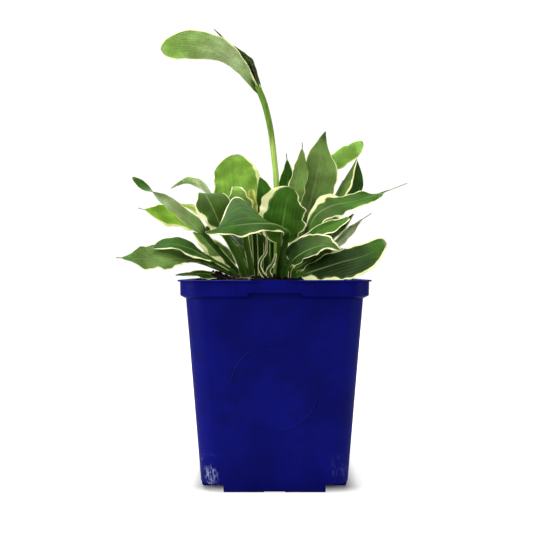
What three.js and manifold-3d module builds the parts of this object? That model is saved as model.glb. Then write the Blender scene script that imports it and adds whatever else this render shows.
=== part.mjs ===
// Potted hosta: a square blue nursery pot, its soil, a flower stem and cream-edged leaves on their stalks.
// Units are millimetres. +Z is up, the pot's front faces -Y, and the origin is the middle of the pot's base.

import * as THREE from "three";
import { mergeVertices } from "three/addons/utils/BufferGeometryUtils.js";
import Module from "manifold-3d";

const wasm = await Module();
wasm.setup();

// Driving sizes of the pot
const POT_HEIGHT = 171;
const LIP_SIDE = 155.5;
const BAND_SIDE = 151.5;
const BODY_TOP_SIDE = 143.4;
const BODY_BASE_SIDE = 120;
const BODY_TOP_Z = 156;
const BAND_BOTTOM_Z = 158.2;
const LIP_BOTTOM_Z = 169.4;
const CORNER_RADIUS = 16;
const WALL = 2;
const FLOOR_TOP_Z = 8.8;
const FLOOR_BOTTOM_Z = 6.6;
const INNER_STEP_Z = 161.5;
const INNER_STEP_TOP_Z = 165;
const FOOT_LENGTH = 82;
const FOOT_RETURN = 9;
const FOOT_RELIEF_LENGTH = 17;
const FOOT_RELIEF_HEIGHT = 0.8;
const BAND_RECESS_LENGTH = 43;
const BAND_RECESS_HEIGHT = 2.6;
const LIP_DIP_LENGTH = 41;
const LIP_DIP_DEPTH = 2;
const DRAIN_HOLE_RADIUS = 7;
const DRAIN_HOLE_PLACE = 36;
const RING_RADIUS = 35.5;
const RING_WIDTH = 1.4;
const RING_HEIGHT = 0.5;
const RING_Z = 85;
const CORNER_STEPS = 5;
const BASE_ROUNDING = 1.3;
const BASE_ROUNDING_HEIGHT = 3;
const BAND_FLARE = 0.2;
const LIP_UNDERCUT = 0.3;
const LIP_ROUNDING = 0.5;
const FOOT_INSET = 0.1;
const CORNER_CUTTER = 40;
const CUTTER_DEPTH = 12;
const RECESS_SLOPE = 1.5;
const RECESS_BACK = 0.3;
const DIP_INSET = 0.2;
const DIP_CUTTER_WIDTH = 4;
const DIP_SIDES = 120;
const DRAIN_HOLE_SIDES = 16;
const RING_SIDES = 48;
const RING_ROOT = 1;

// Driving sizes of the soil
const SOIL_GAP = 0.3;
const SOIL_EDGE_Z = 166;
const SOIL_MOUND = 6.5;
const SOIL_MOUND_RADIUS = 62;
const SOIL_HEAP = { x: -53, y: -30, radius: 12, height: 7.5 };
const SOIL_LUMPS = { height: 0.9, alongX: 0.31, alongY: 0.27, start: 0.4 };
const SOIL_RIPPLES = { height: 0.6, alongX: 0.2, alongY: 0.53 };
const SOIL_RING_ROUNDING = 0.9;
const CROWN_X = -8;
const SOIL_RINGS = 8;

// Driving sizes of the leaves and the flower stem. The plant stands a little right of the pot's middle.
const PLANT_X = 1.1;
const BLADE_THICKNESS = 0.84;
const STALK_HALF_WIDTH = 2.7;
const STALK_TOP_HALF_WIDTH = 3.1;
const STALK_DEPTH = 1.4;
const CHANNEL_DEPTH = 1.2;
const MIDRIB_DEPTH = 0.6;
const TIP_HALF_WIDTH = 0.45;
const ACROSS = 4;
const STALK_STEPS = 4;
const BLADE_STEPS = 9;
const HOLE_CLEARANCE = 0.35;
const BROADEST_AT = 0.42;
const POINTEDNESS = 0.95;
const CHANNEL_FADE = 3;
const STALK_FADE = 4;
const EDGE_SWELL = 5;
const WAVE_SHIFT = 0.37;
const CURVE_TENSION = 0.5;
const STEM_RADIUS = 2.5;
const STEM_SIDES = 10;
const STEM_STEPS = 18;

// The leaves. Each has a route along its midrib, from its foot in the soil to its tip, and the share of
// that length that is stalk. Its half widths are left and right of the midrib as seen from the stalk to
// the tip with the upper side up, and face is the direction its upper side faces. A list of values runs
// evenly from the blade's base to its tip. fold is how far each half is raised from flat, in degrees,
// curl bends the edges, and wave is the height, the number and the phase of the waves in the edge.
const LEAVES = [
  {
    name: "leaf_left_low",
    route: [[-34, -13, 161], [-36, -15, 173], [-42, -21, 177], [-53, -31, 182], [-64, -40, 186],
      [-78, -49, 188], [-93, -57, 188], [-109, -65, 188], [-126, -72, 188.5]],
    stalk: 0.42, halfWidth: [12.5, 18], face: [0.3, -0.62, 0.72], broad: [0.6, 0.48], point: 1.3, thread: 4,
    wave: [1.4, 3.2, 0.4],
  },
  {
    name: "leaf_left_dark",
    route: [[-31, -20, 161], [-34, -23, 174], [-42, -28, 180], [-54, -36, 187], [-63, -42, 192.5],
      [-72, -46, 197], [-86, -51, 200], [-100, -55, 196]],
    stalk: 0.45, halfWidth: [9, 11], face: [0, -0.6, 0.8], broad: [0.42, 0.62], wave: [1, 2, 0],
  },
  {
    name: "leaf_rim_left",
    route: [[-41, -25, 161], [-45, -30, 171], [-51, -36, 174], [-58, -41, 175.4], [-66, -45, 175.9],
      [-74, -48, 175.5], [-82, -50, 174.4]],
    stalk: 0.3, halfWidth: [6, 4], face: [0, -0.6, 0.8], point: 1.5, broad: 0.35, wave: [0.6, 2, 0],
  },
  {
    name: "leaf_left_middle",
    route: [[-32, 8, 161], [-34, 9, 175], [-42, 12, 186], [-52, 14, 196], [-67, 16, 212], [-82, 19, 222.5],
      [-101, 23, 230], [-127, 26, 236.5]],
    stalk: 0.5, halfWidth: [14, 14.5], face: [-0.2, 0.55, 0.8], broad: [0.55, 0.62], thread: 7,
    wave: [1, 2, 0],
  },
  {
    name: "leaf_left_long",
    route: [[-32, -6, 161], [-34, -7, 176], [-41, -9, 186], [-49, -11, 195], [-65, -15, 213], [-78, -18, 225],
      [-91, -21, 235], [-106, -24, 246.5], [-122, -27, 258]],
    stalk: 0.44, halfWidth: [9, 6.5], face: [[0.2, 0.55, 0.83], [0.2, 0.6, 0.8], [0, -0.9, 0.45]], point: 0.7,
    wave: [0.8, 2, 0],
  },
  {
    name: "leaf_left_inner",
    route: [[-33, 1, 161], [-35, 1, 177], [-45, 2, 189], [-57, 4, 199], [-66, 6, 207], [-74, 8, 213]],
    stalk: 0.3, halfWidth: [9, 9], face: [0, -0.8, 0.6], wave: [1.2, 2, 0],
  },
  {
    name: "leaf_left_arched",
    route: [[-26, 4, 161], [-30, 6, 178], [-40, 10, 201], [-50, 18, 229], [-61, 25, 250], [-72, 28, 260],
      [-84, 30, 262], [-97, 31, 255.5]],
    stalk: 0.47, halfWidth: [8, 8], face: [[0.7, 0.3, 0.6], [0.2, 0.4, 0.9], [-0.3, 0.35, 0.85]],
    wave: [1, 2, 0],
  },
  {
    name: "leaf_left_back",
    route: [[-26, 12, 161], [-27, 14, 178], [-35.5, 20, 199], [-48.5, 27, 212], [-62, 30, 228],
      [-77, 34, 237], [-92, 37, 242]],
    stalk: 0.5, halfWidth: [9, 9], face: [0, 0.4, 0.9], wave: [1, 2, 0],
  },
  {
    name: "leaf_left_folded",
    route: [[-24, -19, 161], [-28, -19, 178], [-37, -20, 197], [-46, -20, 214], [-54, -17, 232],
      [-60, -11, 243], [-63, -3, 247], [-64, 8, 245], [-66, 19, 238]],
    stalk: 0.42, halfWidth: [14, 17], broad: [0.32, 0.45], point: [3, 0.95],
    face: [[0.3, -0.85, 0.4], [0.1, -0.6, 0.8], [-0.1, 0.4, 0.9]], wave: [1.2, 2, 0],
  },
  {
    name: "leaf_front_broad",
    route: [[2, -22, 161], [4, -24, 178], [7.5, -30, 197], [9.5, -36, 209.5], [3, -41, 216],
      [-12, -44, 217.5], [-29, -46, 216], [-44, -47.5, 213.5], [-58, -49, 209.5]],
    stalk: 0.4, halfWidth: [11, 44.5], face: [-0.1, -0.8, 0.6], broad: [0.58, 0.55], point: [0.8, 4.3],
    curl: [[0, 0, 0], [-26, -14, 0]], wave: [1.6, 2.4, 0.2],
  },
  {
    name: "leaf_centre_small",
    route: [[-20, -8, 161], [-21, -8, 178], [-25, -6, 200], [-29, -4, 222], [-31.5, -1, 240], [-34, 2, 250],
      [-37, 7, 254.5]],
    stalk: 0.5, halfWidth: [12, 11], face: [[0.1, -0.9, 0.4], [0, -0.5, 0.85]], point: 0.8, wave: [2, 2, 0.3],
  },
  {
    name: "new_shoot",
    route: [[-17, 1, 161], [-17, 2, 180], [-18, 4, 205], [-20, 6, 230], [-21.5, 7, 252]],
    stalk: 0.55, halfWidth: [5, 5], face: [0, -0.9, 0.2], fold: [35, 35], broad: 0.6, point: 0.5, steps: 6,
  },
  {
    name: "leaf_back_round",
    route: [[-14, 12, 161], [-15, 13, 178], [-20, 17, 200], [-26, 22, 222], [-30, 27, 244], [-33, 32, 264],
      [-35, 37, 279], [-36, 41, 289]],
    stalk: 0.49, halfWidth: [24.5, 20.5], face: [[0, -0.9, 0.4], [0, -0.8, 0.5]], broad: 0.5,
    point: [0.5, 0.65], wave: [1.5, 2.5, 0.1],
  },
  {
    name: "leaf_centre_dark",
    route: [[-8, 6, 161], [-8, 7, 178], [-7.5, 9, 205], [-8, 11, 228], [-9.5, 13, 247], [-13.5, 15, 263.5]],
    stalk: 0.45, halfWidth: [8, 10.5], face: [0, -0.9, 0.3], broad: 0.5, wave: [1, 2, 0],
  },
  {
    name: "leaf_centre_slim",
    route: [[4, 9, 161], [4, 9.5, 178], [5, 12, 205], [8, 14, 230], [11, 16, 252], [12, 17, 270],
      [10.5, 18, 286]],
    stalk: 0.5, halfWidth: [8.5, 7.5], face: [0, -0.9, 0.3], thread: 6, wave: [0.8, 2, 0],
  },
  {
    name: "leaf_centre_broad",
    route: [[5, -12, 161], [4.5, -12, 178], [4.5, -13, 196], [6, -14, 214], [8, -14.5, 228], [10.5, -14, 240],
      [15, -12, 251]],
    stalk: 0.45, halfWidth: [22, 18], face: [0, -0.95, 0.2], broad: [0.5, 0.42], point: [0.55, 0.8],
    wave: [2, 2.6, 0.2],
  },
  {
    name: "leaf_centre_tall",
    route: [[6, -4, 161], [6.5, -4, 178], [8, -3, 205], [12, -2, 230], [17, 0, 250], [21, 2, 268],
      [24.3, 4, 287], [24.6, 5, 293.5]],
    stalk: 0.5, halfWidth: [5, 9], face: [0, -0.95, 0.2], broad: 0.5, point: 1, thread: 6, wave: [0.8, 2, 0],
  },
  {
    name: "leaf_right_tall",
    route: [[12, -3, 161], [13, -2, 178], [18, 3, 196], [24, 6, 214], [30, 8, 232], [35, 9, 252],
      [39.5, 8, 272], [43, 5, 291], [45.3, 2, 303]],
    stalk: 0.45, halfWidth: [19, 13], face: [0, 0.95, 0.3], broad: [0.47, 0.5], point: [2, 1],
    wave: [1.2, 2.5, 0],
  },
  {
    name: "leaf_right_top",
    route: [[17, 16, 161], [18, 17, 178], [24, 20, 203], [33.5, 24, 232], [42, 28, 256], [51, 31, 275],
      [61, 32.5, 284], [71, 33.5, 291], [83, 35, 300]],
    stalk: 0.7, halfWidth: [10, 7], face: [-0.3, 0.85, 0.4], broad: [0.62, 0.5], point: [0.45, 0.7],
    wave: [0.6, 2, 0],
  },
  {
    name: "leaf_right_folded",
    route: [[15, 8, 161], [17, 9, 178], [26, 11, 196], [37, 13, 213], [52, 18, 240], [63, 20, 261],
      [71, 21, 274], [75.7, 22, 282]],
    stalk: 0.52, halfWidth: [11, 24], face: [0.8, -0.1, -0.5], fold: [55, 55], broad: [0.42, 0.65],
    point: [0.95, 1.3], wave: [1, 2, 0],
  },
  {
    name: "leaf_right_long",
    route: [[20, -8, 161], [20, -9, 178], [23, -11, 195], [28, -13.5, 211], [36, -14, 227], [52, -9, 236],
      [71, -1, 240], [88, 9, 246], [105, 25, 252.5], [127, 45, 262]],
    stalk: 0.3, halfWidth: [16, 14], face: [0, -0.6, 0.8], thread: 30, broad: [0.4, 0.3], point: [2.6, 1.4],
    wave: [2.2, 2.6, 0.5],
  },
  {
    name: "leaf_right_cupped",
    route: [[13, -13, 161], [13.5, -13.5, 180], [20, -17, 195], [27, -20, 204], [37, -25, 211.5],
      [50, -27, 218], [62, -24, 224]],
    stalk: 0.42, halfWidth: [6, 16], face: [-0.2, -0.7, 0.7], fold: [10, 25], broad: [0.42, 0.55],
    point: [0.95, 0.5], wave: [0.8, 2, 0],
  },
  {
    name: "leaf_right_shaded",
    route: [[25, 6, 161], [26, 6, 178], [40, 9, 200], [53, 11, 212], [64, 13, 222], [72, 14, 230]],
    stalk: 0.45, halfWidth: [7, 7], face: [-0.2, -0.6, 0.8], wave: [0.8, 2, 0],
  },
  {
    name: "leaf_right_narrow",
    route: [[27, -3, 161], [29, -3, 178], [38, -2, 189], [49, 0, 197], [60, 4, 206], [68, 8, 214.5],
      [77, 11, 223], [88, 13, 230.5]],
    stalk: 0.45, halfWidth: [7, 7], face: [-0.4, -0.4, 0.8], thread: 10, wave: [0.5, 2, 0],
  },
  {
    name: "leaf_front_wavy",
    route: [[9, -26, 161], [9, -28, 176], [14, -33, 186], [19, -38, 191], [28, -44, 196], [40, -52, 199],
      [52, -59, 195]],
    stalk: 0.34, halfWidth: [16, 8], face: [-0.1, -0.8, 0.6], broad: [0.28, 0.4], wave: [2, 2.4, 0],
  },
  {
    name: "leaf_right_inner",
    route: [[15, -20, 161], [17, -21, 178], [24, -23, 184], [31, -25, 188], [43, -28, 194], [55, -30, 198]],
    stalk: 0.3, halfWidth: [6, 7], face: [-0.2, -0.7, 0.7], wave: [0.8, 2, 0],
  },
  {
    name: "leaf_right_low",
    route: [[17, -27, 161], [18, -29, 172.5], [26, -36, 176], [35, -42, 179], [53, -53, 185], [73, -63, 191],
      [87, -71, 200]],
    stalk: 0.2, halfWidth: [12, 17], face: [-0.15, -0.85, 0.5], broad: [0.6, 0.52], point: [0.35, 0.7],
    wave: [1.4, 3, 0.3],
  },
  {
    name: "leaf_rear_tall",
    route: [[-6, 18, 161], [-6, 19, 178], [-7, 27, 205], [-9, 38, 230], [-11, 52, 243], [-12, 67, 240],
      [-12, 79, 231]],
    stalk: 0.42, halfWidth: [18, 18], face: [[0, -0.6, 0.8], [0, -0.1, 1], [0, 0.6, 0.8]],
    wave: [1.5, 2.5, 0],
  },
  {
    name: "leaf_rear_left",
    route: [[-22, 20, 161], [-23, 21, 178], [-31, 35, 199], [-43, 50, 214], [-54, 62, 221], [-63, 71, 219],
      [-69, 78, 213]],
    stalk: 0.42, halfWidth: [15, 15], face: [0.2, -0.2, 1], wave: [1.5, 2.5, 0.4],
  },
  {
    name: "leaf_rear_right",
    route: [[8, 18, 161], [8, 19, 178], [16, 28, 202], [28, 39, 222], [42, 51, 232], [55, 63, 231],
      [65, 73, 224]],
    stalk: 0.42, halfWidth: [16, 16], face: [-0.2, -0.2, 1], wave: [1.5, 2.5, 0.7],
  },
  {
    name: "leaf_rear_low",
    route: [[-10, 25, 161], [-9.5, 26, 176], [-8.5, 31, 192], [-7.5, 38, 206], [-7, 49, 215], [-7, 62, 216],
      [-7, 77, 209]],
    stalk: 0.12, halfWidth: [14, 15], face: [[0, -0.8, 0.6], [0, -0.5, 0.85], [0, 0.4, 0.9]], broad: 0.32,
    point: 0.8, wave: [1, 2, 0.2],
  },
  {
    name: "leaf_rear_low_right",
    route: [[16, 24, 161], [18, 26, 176], [33, 38, 189], [48, 50, 197], [62, 62, 197], [75, 73, 190]],
    stalk: 0.35, halfWidth: [15, 15], face: [[-0.2, -0.2, 1], [0.3, 0.3, 0.9]], wave: [1.5, 2.5, 0.5],
  },
  {
    name: "leaf_rear_low_left",
    route: [[-31, 18, 161], [-33, 20, 176], [-47, 31, 187], [-61, 43, 195], [-75, 54, 195], [-87, 63, 189]],
    stalk: 0.35, halfWidth: [15, 15], face: [[0.2, -0.2, 1], [-0.3, 0.3, 0.9]], wave: [1.5, 2.5, 0.9],
  },
];

// The two bracts at the head of the flower stem, described as the leaves are
const BRACTS = [
  {
    name: "broad_bract",
    route: [[-15, 2.5, 339], [-24, 0, 348], [-35.5, -2, 360], [-47, -4, 369], [-62, -6, 375],
      [-79, -8, 377.5], [-91, -9, 376], [-100.5, -10, 372.5]],
    stalk: 0.04, halfWidth: [15.5, 17], face: [0.1, -0.92, 0.35], broad: [0.82, 0.6], point: [0.5, 0.75],
    wave: [0.5, 1.5, 0],
    stalkSteps: 1,
  },
  {
    name: "narrow_bract",
    route: [[-13.5, 3, 341], [-16, 4.5, 349], [-18.8, 5.5, 358], [-22, 6, 366], [-32, 6, 374.5],
      [-40, 6, 380.5], [-47, 6, 388], [-55, 5, 396]],
    stalk: 0.04, halfWidth: [4, 4], face: [-0.4, -0.85, 0.3], fold: [50, 50], broad: 0.25, point: 1.2,
    stalkSteps: 1,
  },
];

const STEM_ROUTE = [[0, 2, 161], [1.3, 2, 196], [1.7, 2, 228], [1.1, 2, 259], [-0.5, 2, 277], [-2.1, 2, 291],
  [-4.2, 2, 306], [-6.8, 2, 318], [-9.5, 2, 328], [-12.7, 2, 336.5], [-16, 2.5, 343]];

function material(name, color, roughness) {
  return new THREE.MeshStandardMaterial({ name, color, roughness, metalness: 0 });
}

const POT_PLASTIC = material("pot_plastic", 0x14146e, 0.55);
const POTTING_SOIL = material("potting_soil", 0x231a14, 0.95);
const LEAF = material("leaf", 0x3f6f2a, 0.5);
const FLOWER_STEM = material("flower_stem", 0x7fa046, 0.5);

// Flips a closed geometry whose faces point inwards
function outwards(geometry) {
  const position = geometry.attributes.position;
  const index = geometry.index.array;
  const [a, b, c] = [new THREE.Vector3(), new THREE.Vector3(), new THREE.Vector3()];
  let volume = 0;
  for (let i = 0; i < index.length; i += 3) {
    a.fromBufferAttribute(position, index[i]);
    b.fromBufferAttribute(position, index[i + 1]);
    c.fromBufferAttribute(position, index[i + 2]);
    volume += a.dot(b.cross(c));
  }
  if (volume < 0) {
    for (let i = 0; i < index.length; i += 3) {
      [index[i], index[i + 1]] = [index[i + 1], index[i]];
    }
  }
  geometry.computeVertexNormals();
  return geometry;
}

function closedGeometry(points, triangles) {
  const geometry = new THREE.BufferGeometry();
  const places = points.flatMap((p) => [p.x, p.y, p.z]);
  geometry.setAttribute("position", new THREE.Float32BufferAttribute(places, 3));
  geometry.setIndex(triangles);
  return outwards(geometry);
}

function toSolid(geometry) {
  const bare = geometry.clone();
  bare.deleteAttribute("normal");
  bare.deleteAttribute("uv");
  const merged = mergeVertices(bare);
  return new wasm.Manifold(new wasm.Mesh({
    numProp: 3,
    vertProperties: new Float32Array(merged.attributes.position.array),
    triVerts: new Uint32Array(merged.index.array),
  }));
}

function toGeometry(solid) {
  const mesh = solid.getMesh();
  const geometry = new THREE.BufferGeometry();
  geometry.setAttribute("position", new THREE.Float32BufferAttribute(mesh.vertProperties, 3));
  geometry.setIndex(Array.from(mesh.triVerts));
  geometry.computeVertexNormals();
  return geometry;
}

// Joins rings of equally many points into one closed body, with a flat fan over each end
function loft(rings) {
  const count = rings[0].length;
  const triangles = [];
  for (let i = 0; i + 1 < rings.length; i += 1) {
    for (let j = 0; j < count; j += 1) {
      const next = (j + 1) % count;
      const [low, high] = [i * count, (i + 1) * count];
      triangles.push(low + j, low + next, high + next, low + j, high + next, high + j);
    }
  }
  const last = (rings.length - 1) * count;
  for (let j = 1; j + 1 < count; j += 1) {
    triangles.push(0, j + 1, j, last, last + j, last + j + 1);
  }
  return closedGeometry(rings.flat(), triangles);
}

// A level square with round corners, of the given half side, as one ring
function squareRing(half, radius, z) {
  const points = [];
  for (let corner = 0; corner < 4; corner += 1) {
    const turn = (corner * Math.PI) / 2;
    for (let step = 0; step <= CORNER_STEPS; step += 1) {
      const angle = turn + (step / CORNER_STEPS) * (Math.PI / 2);
      const signX = corner === 0 || corner === 3 ? 1 : -1;
      const signY = corner < 2 ? 1 : -1;
      const x = signX * (half - radius) + radius * Math.cos(angle);
      const y = signY * (half - radius) + radius * Math.sin(angle);
      points.push(new THREE.Vector3(x, y, z));
    }
  }
  return points;
}

function box(sizeX, sizeY, sizeZ, x, y, z) {
  return new THREE.BoxGeometry(sizeX, sizeY, sizeZ).translate(x, y, z);
}

// Places the same cutter or rib on all four sides of the pot
function onEachSide(geometry) {
  return [0, 1, 2, 3].map((side) => toSolid(geometry.clone().rotateZ((side * Math.PI) / 2)));
}

function bodyHalf(z) {
  return THREE.MathUtils.lerp(BODY_BASE_SIDE, BODY_TOP_SIDE, z / BODY_TOP_Z) / 2;
}

// The pot: a tapered shell with a band and a thin lip at the top, on four skirted feet
function makePot() {
  const roundingZ = BASE_ROUNDING_HEIGHT / 3;
  const outer = loft([
    squareRing(bodyHalf(0) - BASE_ROUNDING, CORNER_RADIUS, 0),
    squareRing(bodyHalf(roundingZ) - BASE_ROUNDING / 3, CORNER_RADIUS, roundingZ),
    squareRing(bodyHalf(BASE_ROUNDING_HEIGHT), CORNER_RADIUS, BASE_ROUNDING_HEIGHT),
    squareRing(bodyHalf(BODY_TOP_Z), CORNER_RADIUS, BODY_TOP_Z),
    squareRing(BAND_SIDE / 2, CORNER_RADIUS, BAND_BOTTOM_Z),
    squareRing(BAND_SIDE / 2 + BAND_FLARE, CORNER_RADIUS, LIP_BOTTOM_Z),
    squareRing(LIP_SIDE / 2, CORNER_RADIUS, LIP_BOTTOM_Z + LIP_UNDERCUT),
    squareRing(LIP_SIDE / 2, CORNER_RADIUS, POT_HEIGHT - LIP_ROUNDING),
    squareRing(LIP_SIDE / 2 - LIP_ROUNDING, CORNER_RADIUS, POT_HEIGHT),
  ]);
  const innerRadius = CORNER_RADIUS - WALL;
  const cavity = loft([
    squareRing(bodyHalf(FLOOR_TOP_Z) - WALL, innerRadius, FLOOR_TOP_Z),
    squareRing(bodyHalf(INNER_STEP_Z) - WALL, innerRadius, INNER_STEP_Z),
    squareRing(BAND_SIDE / 2 - WALL, innerRadius, INNER_STEP_TOP_Z),
    squareRing(BAND_SIDE / 2 - WALL, innerRadius, POT_HEIGHT + 1),
  ]);
  const underside = loft([
    squareRing(bodyHalf(0) - BASE_ROUNDING - WALL, innerRadius, -1),
    squareRing(bodyHalf(FLOOR_BOTTOM_Z) - WALL, innerRadius, FLOOR_BOTTOM_Z),
  ]);
  let pot = toSolid(outer).subtract(toSolid(cavity)).subtract(toSolid(underside));

  // Each foot is the middle of one side, with its ends turned inwards
  const footEnd = (FOOT_LENGTH - WALL) / 2;
  const footFace = bodyHalf(0) - BASE_ROUNDING - FOOT_INSET;
  for (const side of [-1, 1]) {
    const rib = box(WALL, FOOT_RETURN, FLOOR_BOTTOM_Z + 1, side * footEnd, footFace - FOOT_RETURN / 2,
      (FLOOR_BOTTOM_Z + 1) / 2);
    for (const solid of onEachSide(rib)) {
      pot = pot.add(solid);
    }
  }
  const cornerPlace = (FOOT_LENGTH + CORNER_CUTTER) / 2;
  const corner = box(CORNER_CUTTER, CORNER_CUTTER, 2 * FLOOR_BOTTOM_Z, cornerPlace, cornerPlace, 0);
  const relief = box(FOOT_RELIEF_LENGTH, CUTTER_DEPTH, 2 * FOOT_RELIEF_HEIGHT, 0, footFace, 0);
  for (const solid of [...onEachSide(corner), ...onEachSide(relief)]) {
    pot = pot.subtract(solid);
  }

  // Recess in the lower edge of the band, with sloping ends
  const recessTop = BAND_BOTTOM_Z + BAND_RECESS_HEIGHT;
  const recess = new THREE.Shape();
  recess.moveTo(-BAND_RECESS_LENGTH / 2, BODY_TOP_Z);
  recess.lineTo(BAND_RECESS_LENGTH / 2, BODY_TOP_Z);
  recess.lineTo(BAND_RECESS_LENGTH / 2, recessTop - RECESS_SLOPE);
  recess.lineTo(BAND_RECESS_LENGTH / 2 - RECESS_SLOPE, recessTop);
  recess.lineTo(RECESS_SLOPE - BAND_RECESS_LENGTH / 2, recessTop);
  recess.lineTo(-BAND_RECESS_LENGTH / 2, recessTop - RECESS_SLOPE);
  const recessCutter = new THREE.ExtrudeGeometry(recess, { depth: CUTTER_DEPTH, bevelEnabled: false });
  recessCutter.rotateX(Math.PI / 2).translate(0, -BODY_TOP_SIDE / 2 - RECESS_BACK, 0);
  for (const solid of onEachSide(recessCutter)) {
    pot = pot.subtract(solid);
  }

  // The lip sags a little in the middle of the front and the back
  const dipRadius = ((LIP_DIP_LENGTH / 2) ** 2 + LIP_DIP_DEPTH ** 2) / (2 * LIP_DIP_DEPTH);
  for (const side of [-1, 1]) {
    const dip = new THREE.CylinderGeometry(dipRadius, dipRadius, DIP_CUTTER_WIDTH, DIP_SIDES);
    const dipPlace = (BAND_SIDE + DIP_CUTTER_WIDTH) / 2 - DIP_INSET;
    dip.translate(0, side * dipPlace, POT_HEIGHT - LIP_DIP_DEPTH + dipRadius);
    pot = pot.subtract(toSolid(dip));
  }

  // Drain holes in the floor
  const holes = [[0, 0]];
  for (const x of [-DRAIN_HOLE_PLACE, DRAIN_HOLE_PLACE]) {
    for (const y of [-DRAIN_HOLE_PLACE, DRAIN_HOLE_PLACE]) {
      holes.push([x, y]);
    }
  }
  for (const [x, y] of holes) {
    const radius = DRAIN_HOLE_RADIUS;
    const hole = new THREE.CylinderGeometry(radius, radius, FLOOR_TOP_Z, DRAIN_HOLE_SIDES);
    pot = pot.subtract(toSolid(hole.rotateX(Math.PI / 2).translate(x, y, FLOOR_TOP_Z)));
  }

  // A plain raised ring on the front face, which leans out with the wall
  const lean = Math.atan2((BODY_TOP_SIDE - BODY_BASE_SIDE) / 2, BODY_TOP_Z);
  const inside = RING_RADIUS - RING_WIDTH;
  const ring = new THREE.LatheGeometry([
    new THREE.Vector2(inside, -RING_ROOT),
    new THREE.Vector2(RING_RADIUS, -RING_ROOT),
    new THREE.Vector2(RING_RADIUS, RING_HEIGHT),
    new THREE.Vector2(inside, RING_HEIGHT),
    new THREE.Vector2(inside, -RING_ROOT),
  ], RING_SIDES);
  ring.rotateX(Math.PI + lean).translate(0, -bodyHalf(RING_Z), RING_Z);
  pot = pot.add(toSolid(ring));
  return toGeometry(pot);
}

// Height of the soil's surface: a low mound about the crown, one loose heap and small lumps
function soilHeight(x, y) {
  const fromCrown = Math.hypot(x - CROWN_X, y) / SOIL_MOUND_RADIUS;
  const mound = SOIL_MOUND * Math.max(0, 1 - fromCrown ** 2);
  const fromHeap = Math.hypot(x - SOIL_HEAP.x, y - SOIL_HEAP.y) / SOIL_HEAP.radius;
  const heap = SOIL_HEAP.height * Math.exp(-(fromHeap ** 2));
  const { alongX, alongY, start } = SOIL_LUMPS;
  const lumps = SOIL_LUMPS.height * Math.sin(alongX * x + start) * Math.cos(alongY * y);
  const ripples = SOIL_RIPPLES.height * Math.sin(SOIL_RIPPLES.alongX * x + SOIL_RIPPLES.alongY * y);
  return SOIL_EDGE_Z + mound + heap + lumps + ripples;
}

function makeSoil(planted) {
  const radius = CORNER_RADIUS - WALL - SOIL_GAP;
  const edge = BAND_SIDE / 2 - WALL - SOIL_GAP;
  const rings = [
    squareRing(bodyHalf(FLOOR_TOP_Z) - WALL - SOIL_GAP, radius, FLOOR_TOP_Z + SOIL_GAP),
    squareRing(bodyHalf(INNER_STEP_Z) - WALL - SOIL_GAP, radius, INNER_STEP_Z + SOIL_GAP / 2),
    squareRing(edge, radius, INNER_STEP_TOP_Z + SOIL_GAP / 2),
  ];
  for (let ring = 0; ring < SOIL_RINGS; ring += 1) {
    const share = 1 - ring / SOIL_RINGS;
    const rounding = Math.max(radius, edge * SOIL_RING_ROUNDING * (1 - share));
    const points = squareRing(edge * share, rounding * share, 0);
    for (const point of points) {
      point.z = Math.max(soilHeight(point.x, point.y), INNER_STEP_TOP_Z + SOIL_GAP);
    }
    rings.push(points);
  }
  let soil = toSolid(loft(rings));
  for (const geometry of planted) {
    soil = soil.subtract(toSolid(geometry));
  }
  return toGeometry(soil);
}

// Curve through the points of a route, with the plant's place in the pot added
function smoothCurve(route) {
  const points = route.map(([x, y, z]) => new THREE.Vector3(x + PLANT_X, y, z));
  return new THREE.CatmullRomCurve3(points, false, "catmullrom", CURVE_TENSION);
}

// Value of a number, or of a list that runs evenly along the blade, at a share of the blade's length
function along(value, share) {
  if (!Array.isArray(value)) {
    return value;
  }
  const place = share * (value.length - 1);
  const start = Math.min(Math.floor(place), value.length - 2);
  return THREE.MathUtils.lerp(value[start], value[start + 1], place - start);
}

function faceAt(face, share) {
  if (!Array.isArray(face[0])) {
    return new THREE.Vector3(...face);
  }
  return new THREE.Vector3(...[0, 1, 2].map((axis) => along(face.map((entry) => entry[axis]), share)));
}

// The stations along a leaf: the share of its length, its place in the stalk and its place in the blade
function stationsOf(leaf, length) {
  const stalkSteps = leaf.stalkSteps ?? STALK_STEPS;
  const bladeSteps = leaf.steps ?? BLADE_STEPS;
  const bladeEnd = 1 - (leaf.thread ?? 0) / length;
  const stations = [];
  for (let i = 0; i < stalkSteps; i += 1) {
    stations.push({ at: (leaf.stalk * i) / stalkSteps, stalk: i / stalkSteps, blade: 0 });
  }
  for (let i = 0; i <= bladeSteps; i += 1) {
    const blade = i / bladeSteps;
    stations.push({ at: THREE.MathUtils.lerp(leaf.stalk, bladeEnd, blade), stalk: 1, blade });
  }
  if (leaf.thread) {
    stations.push({ at: (1 + bladeEnd) / 2, stalk: 1, blade: 1 });
    stations.push({ at: 1, stalk: 1, blade: 1 });
  }
  return stations;
}

// A value that is the same for both halves of a leaf, or a pair of values for its left and right halves
function ofSide(value, side) {
  return Array.isArray(value) ? value[side] : value;
}

// Share of the full half width at a place along the blade
function outlineAt(leaf, side, blade) {
  const broad = ofSide(leaf.broad ?? BROADEST_AT, side);
  const point = ofSide(leaf.point ?? POINTEDNESS, side);
  const base = (point * broad) / (1 - broad);
  return (blade ** base * (1 - blade) ** point) / (broad ** base * (1 - broad) ** point);
}

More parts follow.
